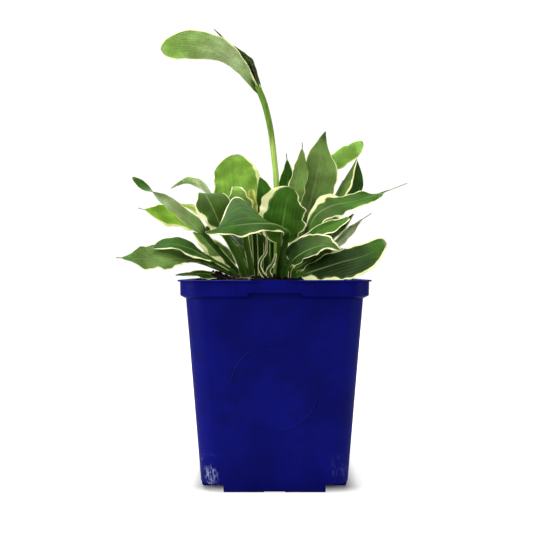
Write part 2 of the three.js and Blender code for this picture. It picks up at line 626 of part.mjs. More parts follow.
// Middle surface of a leaf at one station, as a row of points from its left edge to its right edge
function leafRow(leaf, station, centre, forward, clearance) {
  const face = faceAt(leaf.face, station.blade);
  face.addScaledVector(forward, -face.dot(forward)).normalize();
  const right = new THREE.Vector3().crossVectors(forward, face);
  const { blade } = station;
  const stalkHalf = THREE.MathUtils.lerp(STALK_HALF_WIDTH, STALK_TOP_HALF_WIDTH, station.stalk);
  const channel = Math.max(0, 1 - CHANNEL_FADE * blade);
  const [waveHeight, waveCount, wavePhase] = leaf.wave ?? [0, 1, 0];
  const row = [];
  for (let i = 0; i <= ACROSS; i += 1) {
    const place = (2 * i) / ACROSS - 1;
    const side = place < 0 ? 0 : 1;
    const reach = Math.abs(place);
    const fold = leaf.fold ? THREE.MathUtils.degToRad(along(leaf.fold[side], blade)) : 0;
    const narrow = stalkHalf * (1 - blade) ** 3 + TIP_HALF_WIDTH * blade;
    const half = narrow + leaf.halfWidth[side] * outlineAt(leaf, side, blade) + clearance;
    const turns = waveCount * blade + wavePhase + WAVE_SHIFT * side;
    const swell = Math.min(1, EDGE_SWELL * blade * (1 - blade));
    const wave = waveHeight * swell * reach ** 2 * Math.sin(2 * Math.PI * turns);
    const curl = leaf.curl ? along(leaf.curl[side], blade) * swell : 0;
    const lift = half * reach * Math.sin(fold) + (CHANNEL_DEPTH * channel + curl) * reach ** 2 + wave;
    const out = Math.sign(place) * half * reach * Math.cos(fold);
    row.push(centre.clone().addScaledVector(right, out).addScaledVector(face, lift));
  }
  return row;
}

// How far the underside stands below the middle surface
function undersideDepth(station, place) {
  const stalkPart = STALK_DEPTH * (1 - place ** 2) * Math.max(0, 1 - STALK_FADE * station.blade);
  const midrib = MIDRIB_DEPTH * (1 - Math.abs(place)) ** 3 * (1 - station.blade);
  return BLADE_THICKNESS / 2 + Math.max(stalkPart, midrib);
}

// A leaf as one closed body: both sides of its blade are split along the same diagonals
function makeLeaf(leaf, clearance = 0) {
  const route = smoothCurve(leaf.route);
  const stations = stationsOf(leaf, route.getLength());
  const rows = stations.map((station, i) => {
    const centre = route.getPointAt(station.at);
    const forward = route.getTangentAt(station.at);
    if (i === 0) {
      centre.addScaledVector(forward, -clearance);
    }
    return leafRow(leaf, station, centre, forward, clearance);
  });

  const points = [];
  const last = rows.length - 1;
  rows.forEach((row, i) => {
    const upper = [];
    const lower = [];
    row.forEach((middle, j) => {
      const ahead = rows[Math.min(i + 1, last)][j].clone().sub(rows[Math.max(i - 1, 0)][j]);
      const aside = row[Math.min(j + 1, ACROSS)].clone().sub(row[Math.max(j - 1, 0)]);
      const up = aside.cross(ahead).normalize();
      const place = (2 * j) / ACROSS - 1;
      upper.push(middle.clone().addScaledVector(up, BLADE_THICKNESS / 2 + clearance));
      lower.push(middle.clone().addScaledVector(up, -undersideDepth(stations[i], place) - clearance));
    });
    points.push(...upper, ...lower);
  });

  const rowSize = 2 * (ACROSS + 1);
  const upperAt = (i, j) => i * rowSize + j;
  const lowerAt = (i, j) => i * rowSize + ACROSS + 1 + j;
  const triangles = [];
  for (let i = 0; i < last; i += 1) {
    for (let j = 0; j < ACROSS; j += 1) {
      triangles.push(upperAt(i, j), upperAt(i, j + 1), upperAt(i + 1, j + 1));
      triangles.push(upperAt(i, j), upperAt(i + 1, j + 1), upperAt(i + 1, j));
      triangles.push(lowerAt(i, j), lowerAt(i + 1, j + 1), lowerAt(i, j + 1));
      triangles.push(lowerAt(i, j), lowerAt(i + 1, j), lowerAt(i + 1, j + 1));
    }
    triangles.push(upperAt(i, 0), upperAt(i + 1, 0), lowerAt(i + 1, 0));
    triangles.push(upperAt(i, 0), lowerAt(i + 1, 0), lowerAt(i, 0));
    triangles.push(upperAt(i, ACROSS), lowerAt(i + 1, ACROSS), upperAt(i + 1, ACROSS));
    triangles.push(upperAt(i, ACROSS), lowerAt(i, ACROSS), lowerAt(i + 1, ACROSS));
  }
  for (let j = 0; j < ACROSS; j += 1) {
    triangles.push(upperAt(0, j), lowerAt(0, j + 1), upperAt(0, j + 1));
    triangles.push(upperAt(0, j), lowerAt(0, j), lowerAt(0, j + 1));
    triangles.push(upperAt(last, j), upperAt(last, j + 1), lowerAt(last, j + 1));
    triangles.push(upperAt(last, j), lowerAt(last, j + 1), lowerAt(last, j));
  }
  return closedGeometry(points, triangles);
}

// The stem's round stalk without its bracts, grown by a clearance at its side and its foot
function makeStalk(clearance = 0) {
  const radius = STEM_RADIUS + clearance;
  const [[x, y, z], ...rest] = STEM_ROUTE;
  const section = new THREE.Shape();
  for (let side = 0; side < STEM_SIDES; side += 1) {
    const angle = (2 * Math.PI * side) / STEM_SIDES;
    const corner = [radius * Math.cos(angle), radius * Math.sin(angle)];
    if (side === 0) {
      section.moveTo(...corner);
    } else {
      section.lineTo(...corner);
    }
  }
  section.closePath();
  return new THREE.ExtrudeGeometry(section, {
    steps: STEM_STEPS,
    bevelEnabled: false,
    extrudePath: smoothCurve([[x, y, z - clearance], ...rest]),
  });
}

// The flower stem grows as one piece with the two bracts at its head
function makeFlowerStem() {
  let stem = toSolid(makeStalk());
  for (const bract of BRACTS) {
    stem = stem.add(toSolid(makeLeaf(bract)));
  }
  return toGeometry(stem);
}

function mesh(name, geometry, surface) {
  const piece = new THREE.Mesh(geometry, surface);
  piece.name = name;
  return piece;
}

const plant = new THREE.Group();
plant.name = "potted_hosta";
const holes = LEAVES.map((leaf) => makeLeaf(leaf, HOLE_CLEARANCE));
holes.push(makeStalk(HOLE_CLEARANCE));
plant.add(mesh("pot", makePot(), POT_PLASTIC));
plant.add(mesh("soil", makeSoil(holes), POTTING_SOIL));
plant.add(mesh("flower_stem", makeFlowerStem(), FLOWER_STEM));
for (const leaf of LEAVES) {
  plant.add(mesh(leaf.name, makeLeaf(leaf), LEAF));
}

export default plant;
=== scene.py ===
"""Dresses the potted hosta: veined leaves with cream margins, flower stem, soil, the pot and a studio."""

import math
import random

import bmesh
import bpy
import numpy as np
from mathutils import Matrix, Vector, noise


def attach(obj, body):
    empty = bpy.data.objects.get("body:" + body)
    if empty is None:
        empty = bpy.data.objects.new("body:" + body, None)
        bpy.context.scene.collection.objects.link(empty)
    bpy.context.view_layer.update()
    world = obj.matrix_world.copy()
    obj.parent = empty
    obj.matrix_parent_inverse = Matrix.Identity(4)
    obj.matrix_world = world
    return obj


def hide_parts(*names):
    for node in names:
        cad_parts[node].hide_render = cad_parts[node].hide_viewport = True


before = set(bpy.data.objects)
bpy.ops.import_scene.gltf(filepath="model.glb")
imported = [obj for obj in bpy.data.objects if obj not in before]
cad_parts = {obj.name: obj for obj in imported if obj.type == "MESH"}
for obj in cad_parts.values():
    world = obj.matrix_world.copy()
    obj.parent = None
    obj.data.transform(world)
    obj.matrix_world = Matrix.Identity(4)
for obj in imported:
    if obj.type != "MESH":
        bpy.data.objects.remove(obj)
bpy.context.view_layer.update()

MM = 0.001

# The photograph's frame and the camera that took it, in pixels and millimetres
IMAGE_SIDE = 533
FOCAL_PIXELS = 690
HORIZON_ROW = 271
SENSOR_MM = 36
CAMERA_PLACE = (-6.5, -615, 178)
NEAREST_SEEN = 10

# The studio's soft lights with their places and sizes in metres and powers in watts, and the white round them
SOFTBOXES = [
    ("overhead_softbox", (-0.35, 0.1, 1.35), 1.2, 25),
    ("left_softbox", (-1.25, -0.8, 0.6), 0.9, 17),
    ("right_softbox", (1.3, -0.6, 0.6), 0.9, 9),
    ("back_softbox", (0.1, 1.3, 0.9), 1.0, 10),
]
SOFTBOX_AIM = (0, 0, 0.2)
SURROUND_LIGHT = 0.3
SURROUND_SEEN = 1.05

# The floor's side and where its glow starts and ends, in metres, with its strength near the pot and far off.
# The weaker glow near the pot is a painted shadow.
FLOOR_SIDE = 12
FLOOR_GLOW_START, FLOOR_GLOW_END = 0.1, 0.6
FLOOR_GLOW_NEAR, FLOOR_GLOW_FAR = 0.75, 1.02

# Sizes of the pot, in millimetres
POT_HEIGHT = 171
LIP_SIDE = 155.5
BAND_SIDE = 151.5
BODY_TOP_SIDE = 143.4
BODY_BASE_SIDE = 120
BODY_TOP_Z = 156
BAND_BOTTOM_Z = 158.2
LIP_BOTTOM_Z = 169.4
CORNER_RADIUS = 16
WALL = 2
FLOOR_TOP_Z = 8.8
FLOOR_BOTTOM_Z = 6.6
INNER_STEP_Z = 161.5
INNER_STEP_TOP_Z = 165
FOOT_LENGTH = 82
FOOT_RETURN = 9
FOOT_INSET = 0.1
FOOT_RELIEF_LENGTH = 17
FOOT_RELIEF_HEIGHT = 0.8
RIB_OVERLAP = 1
BAND_RECESS_LENGTH = 43
BAND_RECESS_HEIGHT = 2.6
BAND_EDGE_HEIGHT = 0.5
BAND_EDGE_INSET = 0.4
RECESS_SLOPE = 1.5
RECESS_BACK = 0.3
LIP_DIP_LENGTH = 41
LIP_DIP_DEPTH = 2
DIP_CUTTER_WIDTH = 4
DIP_INSET = 0.2
CORNER_CUTTER = 40
CUTTER_DEPTH = 12
DRAIN_HOLE_RADIUS = 7
DRAIN_HOLE_PLACE = 36
RING_RADIUS = 35.5
RING_WIDTH = 1.4
RING_HEIGHT = 0.5
RING_Z = 85
BASE_ROUNDING = 1.3
BASE_ROUNDING_HEIGHT = 3
BAND_FLARE = 0.2
LIP_UNDERCUT = 0.3
LIP_ROUNDING = 0.5
EDGE_BEVEL = 0.3
NEARLY_LEVEL = 0.01

# Sizes of the soil, its crumbs and its fibres, in millimetres. The heap is a place, a radius and a height.
# The lumps and ripples are a height, turns along x and y and a start, where they have one. Each crumbling is
# a height, a width and a layer of the noise.
SOIL_GAP = 0.3
SOIL_EDGE_Z = 166
SOIL_MOUND = 6.5
SOIL_MOUND_RADIUS = 62
SOIL_HEAP = (-53, -30, 12, 7.5)
SOIL_LUMPS = (0.9, 0.31, 0.27, 0.4)
SOIL_RIPPLES = (0.6, 0.2, 0.53)
CRUMBLING = ((1.1, 5, 3), (0.6, 1.9, 9))
CROWN_X = -8
CRUMB_SIZES = (0.8, 1.0, 1.3, 1.7, 2.1, 2.7)
CRUMB_FROM_WALL = 4
HEAP_CRUMB_SHIFT = (3, -4)
HEAP_CRUMB_SPREAD = (9, 10)
FIBRE_RADIUS = 0.26
FIBRE_MIDDLE = (-33, -30)
FIBRE_SPREAD = (5, 8)
FIBRE_RISE = (0.2, 1.8)
FIBRE_STEP = (2.0, 4.5)

# Counts, shares and turns of the soil's crumbs and fibres
SOIL_CELLS = 170
CRUMBS = 900
CRUMB_SEED = 11
CRUMB_SUBDIVISIONS = (2, 2, 1, 1)
CRUMB_DENT = 0.55
CRUMB_DENT_FINENESS = 1.3
CRUMB_DENT_LAYER = 7
CRUMB_REACH = 1.3
CRUMB_BREADTH = (0.5, 1)
CRUMB_THICKNESS = (0.4, 0.8)
CRUMB_RISE = 0.25
HEAP_EVERY = 2
BARK_EVERY = 5
FULL_TURN = 6.28
HALF_TURN = 3.14
FIBRES = 34
FIBRE_SEED = 23
FIBRE_BENDS = 3
FIBRE_BEND = 0.9

# Sizes of the leaves and the flower stem, in millimetres
PLANT_X = 1.1
BLADE_THICKNESS = 0.5
EDGE_THICKNESS = 0.28
STALK_HALF_WIDTH = 2.7
STALK_TOP_HALF_WIDTH = 3.1
STALK_DEPTH = 1.4
CHANNEL_DEPTH = 1.2
MIDRIB_DEPTH = 0.6
TIP_HALF_WIDTH = 0.45
STEM_RADIUS = 2.5
VEIN_DEPTH = 0.08
MIDRIB_GROOVE = 0.35
MIDRIB_GROOVE_WIDTH = 1.1
EDGE_WANDER = 0.5
EDGE_WANDER_LENGTH = 5
MARGIN_CHANGE_LENGTH = 8
STALK_MARGIN = 0.45

# Counts and shares that shape the leaves and the stem. A fade of 3 ends a third of the way up the blade.
VEINS = 6
ACROSS = 56
STALK_STEPS = 16
SHORT_STALK = 0.1
SHORT_STALK_STEPS = 2
BLADE_STEPS = 66
EVEN_BLADE_STEPS = 0.35
THREAD_STEPS = 8
STEM_SIDES = 24
STEM_STEPS = 90
STEM_SWELL = 0.14
HEADING_STEP = 0.004
CHANNEL_FADE = 3
STALK_DEPTH_FADE = 4
STALK_COLOUR_FADE = 9
GROOVE_RISE = 8
BLADE_SWELL = 5
SIDES_APART = 0.37
FINE_WAVE, FINE_WAVE_COUNT, FINE_WAVE_START = 0.25, 2.6, 0.3
FINE_RUFFLE, FINE_RUFFLE_COUNT = 0.4, 2.3
EDGE_SIDE, MARGIN_SIDE = 9, 5
MARGIN_TAPER, MARGIN_TAPER_START = 0.45, 0.1
MARGIN_CHANGE = 0.7
DRY_TIP, DRY_TIP_START = 0.8, 0.965
SEED_STEP = 3.7
FIRST_BRACT, FIRST_CURLED = 40, 50

# Numbers of sides and steps that round the pot's forms, and the angles in degrees up to which edges are
# shaded smooth
CORNER_STEPS = 14
DRAIN_HOLE_SIDES = 40
DIP_SIDES = 240
RING_SIDES = 128
RING_BEAD_SIDES = 14
BEVEL_ANGLE = 55
POT_SMOOTH, LEAF_SMOOTH, SOIL_SMOOTH, CRUMB_SMOOTH = 32, 50, 60, 40

# A small turn of the pot's first ring, in radians, so that none of its points lies where angles start over
RING_START = 0.01

# Grain of the finishes, in millimetres: what one patch, cell, streak or scratch measures on the real thing
LEAF_CLOUD = 16
LEAF_CELL = 0.9
LEAF_RELIEF = 0.12
LIGHT_DEPTH = 1.2
MARGIN_DRIFT = 4.2
STREAK_LENGTH = 14
STREAK_WANDER = 3.4
DRIFT_WANDER = 1.2
EDGE_STREAK = 1.2
BLADE_MAP_LENGTH = 100
STEM_FIBRE = 1.1
STEM_FIBRE_LENGTH = 28
STEM_RELIEF = 0.1
POT_CLOUD = 42
POT_GRAIN = 0.67
POT_STAIN = 9
POT_RELIEF = 0.08
SCRATCH = 2.7
SCUFF_PATCH = 14
SOIL_LUMP = 5.5
SOIL_GRAIN = 1.1
SOIL_RELIEF = 0.6
STRAW_TONE = 8

# Counts, strengths and shares of the finishes, and what they read from the points of a leaf
STREAKS_ACROSS = 26
LEAF_GLOSS = 0.09
VEIN_SHARE = 0.12
VEIN_RELIEF = 0.8
CELL_RELIEF = 0.01
SCUFF_SHARE = 0.75
SCRATCH_UPRIGHT = 0.22
GRAIN_RELIEF, CLOUD_RELIEF = 0.6, 2
NOISE_MIDDLE = 0.5
HALF_WAVE = 0.5
POINT_VALUES = ("margin", "cream_width", "from_midrib", "blade_share", "stalk_share", "dry_share")

# Colours of the finishes. A tone near the edge or on a vein comes with its share, and the stem's greens come
# with their places from its foot to its head. The stalks differ from leaf to leaf, and their greens are
# darkened in part as painted shade, for the shade beneath the leaves.
DULL_TINT, STREAK_TINT, STALK_TINT, STEM_TINT = "#c9c9bb", "#b4c49a", "#d8dcb4", "#b9c49c"
NEAR_EDGE_TONE, VEIN_TONE = (0.45, "#b9c98a"), (0.5, "#c3d29a")
CREAM_STREAK_TONE, DRY_TIP_TONE = "#cfd39a", "#8d8570"
DEEP_BLUE, ROYAL_BLUE, STAIN_BLUE, SCUFF_TONE = "#02055c", "#060c72", "#04063f", "#9aa0c8"
DARK_STRAW, PALE_STRAW, SWEEP_GREY = "#7f6a48", "#d2c39a", "#b0b0b0"
STEM_GREENS = ((0.0, "#84a645"), (0.4, "#9cc05a"), (0.62, "#b0d464"), (0.77, "#aecf5c"), (0.85, "#769c34"),
               (1.0, "#628a26"))
STALK_GREENS_AND_SHADE = ("#4f7228", "#3c5f1c", "#6a8c42", "#466c22", "#335418")

# How the finishes read a pattern: its value at nothing and at full, and what these become where not 0 and 1
CLOUDS_TO_GREEN = (0.35, 0.68)
STREAKS_TO_GREEN = (0.42, 0.72, 0, 0.35)
STREAKS_TO_CREAM = (0.5, 0.8, 0, 0.5)
STREAKS_TO_STALK = (0.3, 0.7)
CREAM_TO_WANDER = (0, 3, 0.12, 1)
DEPTH_TO_GREEN = (-0.18, 0.22)
CREAM_TO_GREEN = (0.34, 0.24)
DEPTH_TO_EDGE = (2.6, 0.6)
CREAM_TO_EDGE = (0.5, 3, 0, 0.6)
WAVE_TO_VEIN = (0.12, 0)
PLACE_TO_MIDRIB = (0.95, 0.35)
CLOUDS_TO_ROUGHNESS = (0.3, 0.7)
LESS_ROUGH, MORE_ROUGH = 0.05, 0.07
HEIGHT_TO_STEM_GREEN = (165 * MM, 345 * MM)
FIBRES_TO_STEM = (0.35, 0.7)
CLOUDS_TO_BLUE = (0.3, 0.7)
STAINS_TO_BLUE = (0.5, 0.75, 0, 0.35)
CLOUDS_TO_SATIN = (0.3, 0.7, 0.4, 0.52)
CORNER_TO_SCUFF = (104 * MM, 112 * MM)
HEIGHT_TO_SCUFF = (34 * MM, 16 * MM)
SIDE_TO_SCUFF = (80 * MM, -20 * MM)
LINE_TO_SCUFF = (0.06, 0.015)
PATCH_TO_SCUFF = (0.42, 0.6)
LUMPS_TO_SOIL = (0.4, 0.62)
GRAINS_TO_SOIL = (0.6, 0.72, 0, 0.7)
TONES_TO_STRAW = (0.35, 0.65)
WIDTH_TO_SHADOW = (76 * MM, 56 * MM)
DEPTH_TO_SHADOW = (66 * MM, 40 * MM)

# The nodes that the finishes are built from. A colour mix takes its share in 0, its colours in 6 and 7.
NOISE = dict(kind="ShaderNodeTexNoise")
SPAN = dict(kind="ShaderNodeMapRange", interpolation_type="SMOOTHSTEP")
BLEND = dict(kind="ShaderNodeMix", data_type="RGBA")
TINT = dict(kind="ShaderNodeMix", data_type="RGBA", blend_type="MULTIPLY")
TIMES = dict(kind="ShaderNodeMath", operation="MULTIPLY")
TIMES_PLUS = dict(kind="ShaderNodeMath", operation="MULTIPLY_ADD")
PLUS = dict(kind="ShaderNodeMath", operation="ADD")
MINUS = dict(kind="ShaderNodeMath", operation="SUBTRACT")
LARGER = dict(kind="ShaderNodeMath", operation="MAXIMUM")
UNSIGNED = dict(kind="ShaderNodeMath", operation="ABSOLUTE")
ZIGZAG = dict(kind="ShaderNodeMath", operation="PINGPONG")
ATTRIBUTE = dict(kind="ShaderNodeAttribute")
MAPPING = dict(kind="ShaderNodeMapping")
RELIEF = dict(kind="ShaderNodeBump")
SPLIT = dict(kind="ShaderNodeSeparateXYZ")
SURFACE = dict(kind="ShaderNodeBsdfPrincipled")
OUTPUT = dict(kind="ShaderNodeOutputMaterial")

# The greens of the plant, by the names that the leaves below use. deep and shade are darker in part as
# painted shade, for leaves that lie in the shade of others. bright, spring and fresh are lighter in part as
# painted light that shines through leaves lit from behind.
GREENS = {
    "deep": "#1e380a", "shade": "#2b4a16", "dark": "#305912", "mid": "#386414", "leaf": "#44731c",
    "olive": "#486722", "sage": "#607e38", "sage_light": "#74964a", "sage_pale": "#8caa5e",
    "silver": "#bccf9a", "bright": "#8cb848", "spring": "#9acb3c", "lime": "#bccf58", "yellow": "#eef07c",
    "fresh": "#b4e070", "mist": "#d6e2bc", "purple": "#3c3c30",
}

# What a leaf has where its own line doesn't say otherwise
PLAIN_LEAF = dict(broad=(0.42, 0.42), point=(0.95, 0.95), wave=(0, 1, 0), fold=(0, 0), curl=((0,), (0,)),
                  thread=0, ruffle=((0.4, 3, 0), (0.4, 3, 0.5)), upper="dark", under="sage")

# The leaves, as the solids have them: the share of the route along the midrib that is stalk, the half widths
# left and right of the midrib seen from stalk to tip with the upper side up, and the way that side faces.
# broad is where a half is widest and point is how slim its tip is. wave moves the blade up and down and
# ruffle moves its edge in and out, each with a size, a count and a start. fold turns the halves up, in
# degrees, curl lifts them and thread is the length of a bare tip. cream is the width of the pale margin left
# and right, and upper and under are the greens of the two sides. Lists run from the blade's base to its tip.
LEAVES = [
    dict(name="leaf_left_low", stalk=0.42, half=(12.5, 18), face=[(0.3, -0.62, 0.72)],
         route=[(-34, -13, 161), (-36, -15, 173), (-42, -21, 177), (-53, -31, 182), (-64, -40, 186),
         (-78, -49, 188), (-93, -57, 188), (-109, -65, 188), (-126, -72, 188.5)], broad=(0.6, 0.48),
         point=(1.3, 1.3), wave=(1.4, 3.2, 0.4), thread=4, ruffle=((0.9, 4, 0.2), (0.4, 3, 0)),
         cream=((1.2, 0.9, 0.5, 0.4), (0.9, 0.5, 0.4)), upper="sage_light sage_light sage_light sage leaf",
         under="sage_pale"),
    dict(name="leaf_left_dark", stalk=0.45, half=(9, 11), face=[(0, -0.6, 0.8)], route=[(-31, -20, 161),
         (-34, -23, 174), (-42, -28, 180), (-54, -36, 187), (-63, -42, 192.5), (-72, -46, 197),
         (-86, -51, 200), (-100, -55, 196)], broad=(0.42, 0.62), wave=(1, 2, 0), cream=((2.2, 1.4, 1.0, 1.1),
         (0.4, 0.3, 0.8)), under="sage_pale"),
    dict(name="leaf_rim_left", stalk=0.3, half=(6, 4), face=[(0, -0.6, 0.8)], route=[(-41, -25, 161),
         (-45, -30, 171), (-51, -36, 174), (-58, -41, 175.4), (-66, -45, 175.9), (-74, -48, 175.5),
         (-82, -50, 174.4)], broad=(0.35, 0.35), point=(1.5, 1.5), wave=(0.6, 2, 0), cream=((0.5, 0.4),
         (0.4, 0.4)), upper="shade dark olive sage_light"),
    # Painted light: the bright greens of both sides stand in part for light shining through the leaf from
    # behind
    dict(name="leaf_left_middle", stalk=0.5, half=(14, 14.5), face=[(-0.2, 0.55, 0.8)], route=[(-32, 8, 161),
         (-34, 9, 175), (-42, 12, 186), (-52, 14, 196), (-67, 16, 212), (-82, 19, 222.5), (-101, 23, 230),
         (-127, 26, 236.5)], broad=(0.55, 0.62), wave=(1, 2, 0), thread=7,
         ruffle=((0.5, 3, 0), (0.7, 3, 0.4)), cream=((0.8, 0.8, 0.6), (2.4, 3.4, 4, 3)), upper="bright",
         under="spring"),
    dict(name="leaf_left_long", stalk=0.44, half=(9, 6.5), face=[(0.2, 0.55, 0.83), (0.2, 0.6, 0.8),
         (0, -0.9, 0.45)], route=[(-32, -6, 161), (-34, -7, 176), (-41, -9, 186), (-49, -11, 195),
         (-65, -15, 213), (-78, -18, 225), (-91, -21, 235), (-106, -24, 246.5), (-122, -27, 258)],
         point=(0.7, 0.7), wave=(0.8, 2, 0), cream=((0.3, 0.2), (0.3, 0.2)), upper="leaf",
         under="sage_light sage_pale silver sage_pale olive"),
    dict(name="leaf_left_inner", stalk=0.3, half=(9, 9), face=[(0, -0.8, 0.6)], route=[(-33, 1, 161),
         (-35, 1, 177), (-45, 2, 189), (-57, 4, 199), (-66, 6, 207), (-74, 8, 213)], wave=(1.2, 2, 0),
         cream=((7, 6, 3, 1), (1.2, 1)), upper="olive sage_light sage"),
    dict(name="leaf_left_arched", stalk=0.47, half=(8, 8), face=[(0.7, 0.3, 0.6), (0.2, 0.4, 0.9),
         (-0.3, 0.35, 0.85)], route=[(-26, 4, 161), (-30, 6, 178), (-40, 10, 201), (-50, 18, 229),
         (-61, 25, 250), (-72, 28, 260), (-84, 30, 262), (-97, 31, 255.5)], wave=(1, 2, 0), cream=((0.3,),
         (0.3,)), upper="sage", under="mist mist silver"),
    dict(name="leaf_left_back", stalk=0.5, half=(9, 9), face=[(0, 0.4, 0.9)], route=[(-26, 12, 161),
         (-27, 14, 178), (-35.5, 20, 199), (-48.5, 27, 212), (-62, 30, 228), (-77, 34, 237), (-92, 37, 242)],
         wave=(1, 2, 0), cream=((3, 3, 2), (3, 3.5, 2)), upper="leaf", under="yellow lime"),
    dict(name="leaf_left_folded", stalk=0.42, half=(14, 17), face=[(0.3, -0.85, 0.4), (0.1, -0.6, 0.8),
         (-0.1, 0.4, 0.9)], route=[(-24, -19, 161), (-28, -19, 178), (-37, -20, 197), (-46, -20, 214),
         (-54, -17, 232), (-60, -11, 243), (-63, -3, 247), (-64, 8, 245), (-66, 19, 238)],
         broad=(0.32, 0.45), point=(3, 0.95), wave=(1.2, 2, 0), ruffle=((1.2, 3, 0.1), (0.4, 3, 0)),
         cream=((4, 4, 1.4, 0.6, 0.6), (1, 0.7, 0.8, 0.8)), upper="olive", under="sage_pale"),
    dict(name="leaf_front_broad", stalk=0.4, half=(11, 44.5), face=[(-0.1, -0.8, 0.6)], route=[(2, -22, 161),
         (4, -24, 178), (7.5, -30, 197), (9.5, -36, 209.5), (3, -41, 216), (-12, -44, 217.5),
         (-29, -46, 216), (-44, -47.5, 213.5), (-58, -49, 209.5)], broad=(0.58, 0.55), point=(0.8, 4.3),
         wave=(1.6, 2.4, 0.2), curl=((0, 0, 0), (-26, -14, 0)), ruffle=((1.3, 2.2, 0.1), (0.5, 3, 0)),
         cream=((0.9, 1.2, 1.3, 1.1), (0.2, 0.2, 0.3, 3, 4, 3, 1.4)), upper="mid"),
    dict(name="leaf_centre_small", stalk=0.5, half=(12, 11), face=[(0.1, -0.9, 0.4), (0, -0.5, 0.85)],
         route=[(-20, -8, 161), (-21, -8, 178), (-25, -6, 200), (-29, -4, 222), (-31.5, -1, 240),
         (-34, 2, 250), (-37, 7, 254.5)], point=(0.8, 0.8), wave=(2, 2, 0.3),
         ruffle=((1.4, 3, 0.2), (1.8, 3, 0.5)), cream=((1.2, 1.1), (1.2, 1.2)),
         upper="sage sage_light bright", under="sage_pale"),
    dict(name="new_shoot", stalk=0.55, half=(5, 5), face=[(0, -0.9, 0.2)], route=[(-17, 1, 161),
         (-17, 2, 180), (-18, 4, 205), (-20, 6, 230), (-21.5, 7, 252)], broad=(0.6, 0.6), point=(0.5, 0.5),
         fold=(35, 35), cream=((0.3,), (0.3,)), upper="lime yellow", under="yellow yellow"),
    # Painted light: the bright greens of both sides stand in part for light shining through the leaf from
    # behind
    dict(name="leaf_back_round", stalk=0.49, half=(24.5, 20.5), face=[(0, -0.9, 0.4), (0, -0.8, 0.5)],
         route=[(-14, 12, 161), (-15, 13, 178), (-20, 17, 200), (-26, 22, 222), (-30, 27, 244),
         (-33, 32, 264), (-35, 37, 279), (-36, 41, 289)], broad=(0.5, 0.5), point=(0.5, 0.65),
         wave=(1.5, 2.5, 0.1), ruffle=((0.9, 2.6, 0.3), (0.7, 4, 0)), cream=((1.4, 0.6, 0.4, 0.4),
         (2.6, 3.6, 3.6, 3, 0.8)), upper="bright", under="bright"),
    dict(name="leaf_centre_dark", stalk=0.45, half=(8, 10.5), face=[(0, -0.9, 0.3)], route=[(-8, 6, 161),
         (-8, 7, 178), (-7.5, 9, 205), (-8, 11, 228), (-9.5, 13, 247), (-13.5, 15, 263.5)], broad=(0.5, 0.5),
         wave=(1, 2, 0), cream=((0.3,), (0.3,)), upper="leaf"),
    dict(name="leaf_centre_slim", stalk=0.5, half=(8.5, 7.5), face=[(0, -0.9, 0.3)], route=[(4, 9, 161),
         (4, 9.5, 178), (5, 12, 205), (8, 14, 230), (11, 16, 252), (12, 17, 270), (10.5, 18, 286)],
         wave=(0.8, 2, 0), thread=6, cream=((0.5, 0.3), (1.2, 1, 0.4)), upper="mid"),
    dict(name="leaf_centre_broad", stalk=0.45, half=(22, 18), face=[(0, -0.95, 0.2)], route=[(5, -12, 161),
         (4.5, -12, 178), (4.5, -13, 196), (6, -14, 214), (8, -14.5, 228), (10.5, -14, 240), (15, -12, 251)],
         broad=(0.5, 0.42), point=(0.55, 0.8), wave=(2, 2.6, 0.2), ruffle=((1, 3, 0.2), (1.8, 3.4, 0.1)),
         cream=((0.8, 3.5, 7, 5.5, 2), (0.9, 1, 1, 1.2)), upper="leaf leaf mid"),
    dict(name="leaf_centre_tall", stalk=0.5, half=(5, 9), face=[(0, -0.95, 0.2)], route=[(6, -4, 161),
         (6.5, -4, 178), (8, -3, 205), (12, -2, 230), (17, 0, 250), (21, 2, 268), (24.3, 4, 287),
         (24.6, 5, 293.5)], broad=(0.5, 0.5), point=(1, 1), wave=(0.8, 2, 0), thread=6,
         ruffle=((0.5, 3, 0), (0.8, 3, 0.3)), cream=((1, 0.9, 0.6, 0.3), (0.3,)),
         upper="sage_light sage_light sage_pale"),
    dict(name="leaf_right_tall", stalk=0.45, half=(19, 13), face=[(0, 0.95, 0.3)], route=[(12, -3, 161),
         (13, -2, 178), (18, 3, 196), (24, 6, 214), (30, 8, 232), (35, 9, 252), (39.5, 8, 272), (43, 5, 291),
         (45.3, 2, 303)], broad=(0.47, 0.5), point=(2, 1), wave=(1.2, 2.5, 0),
         ruffle=((0.9, 3, 0.4), (0.6, 3, 0)), cream=((0.4, 0.6, 0.8, 0.2), (1, 0.9, 0.3, 0.2)), upper="mid",
         under="sage_pale sage_light sage_pale sage"),
    # Painted light: the fresh green of both sides stands in part for light shining through the leaf from
    # behind
    dict(name="leaf_right_top", stalk=0.7, half=(10, 7), face=[(-0.3, 0.85, 0.4)], route=[(17, 16, 161),
         (18, 17, 178), (24, 20, 203), (33.5, 24, 232), (42, 28, 256), (51, 31, 275), (61, 32.5, 284),
         (71, 33.5, 291), (83, 35, 300)], broad=(0.62, 0.5), point=(0.45, 0.7), wave=(0.6, 2, 0),
         cream=((1, 1, 0.8), (0.5, 0.3)), upper="fresh", under="fresh"),
    dict(name="leaf_right_folded", stalk=0.52, half=(11, 24), face=[(0.8, -0.1, -0.5)], route=[(15, 8, 161),
         (17, 9, 178), (26, 11, 196), (37, 13, 213), (52, 18, 240), (63, 20, 261), (71, 21, 274),
         (75.7, 22, 282)], broad=(0.42, 0.65), point=(0.95, 1.3), wave=(1, 2, 0), fold=(55, 55),
         ruffle=((1.4, 3.5, 0.2), (0.5, 3, 0)), cream=((1.8, 2, 1.8, 1), (0.3,)), upper="shade dark",
         under="sage sage"),
    dict(name="leaf_right_long", stalk=0.3, half=(16, 14), face=[(0, -0.6, 0.8)], route=[(20, -8, 161),
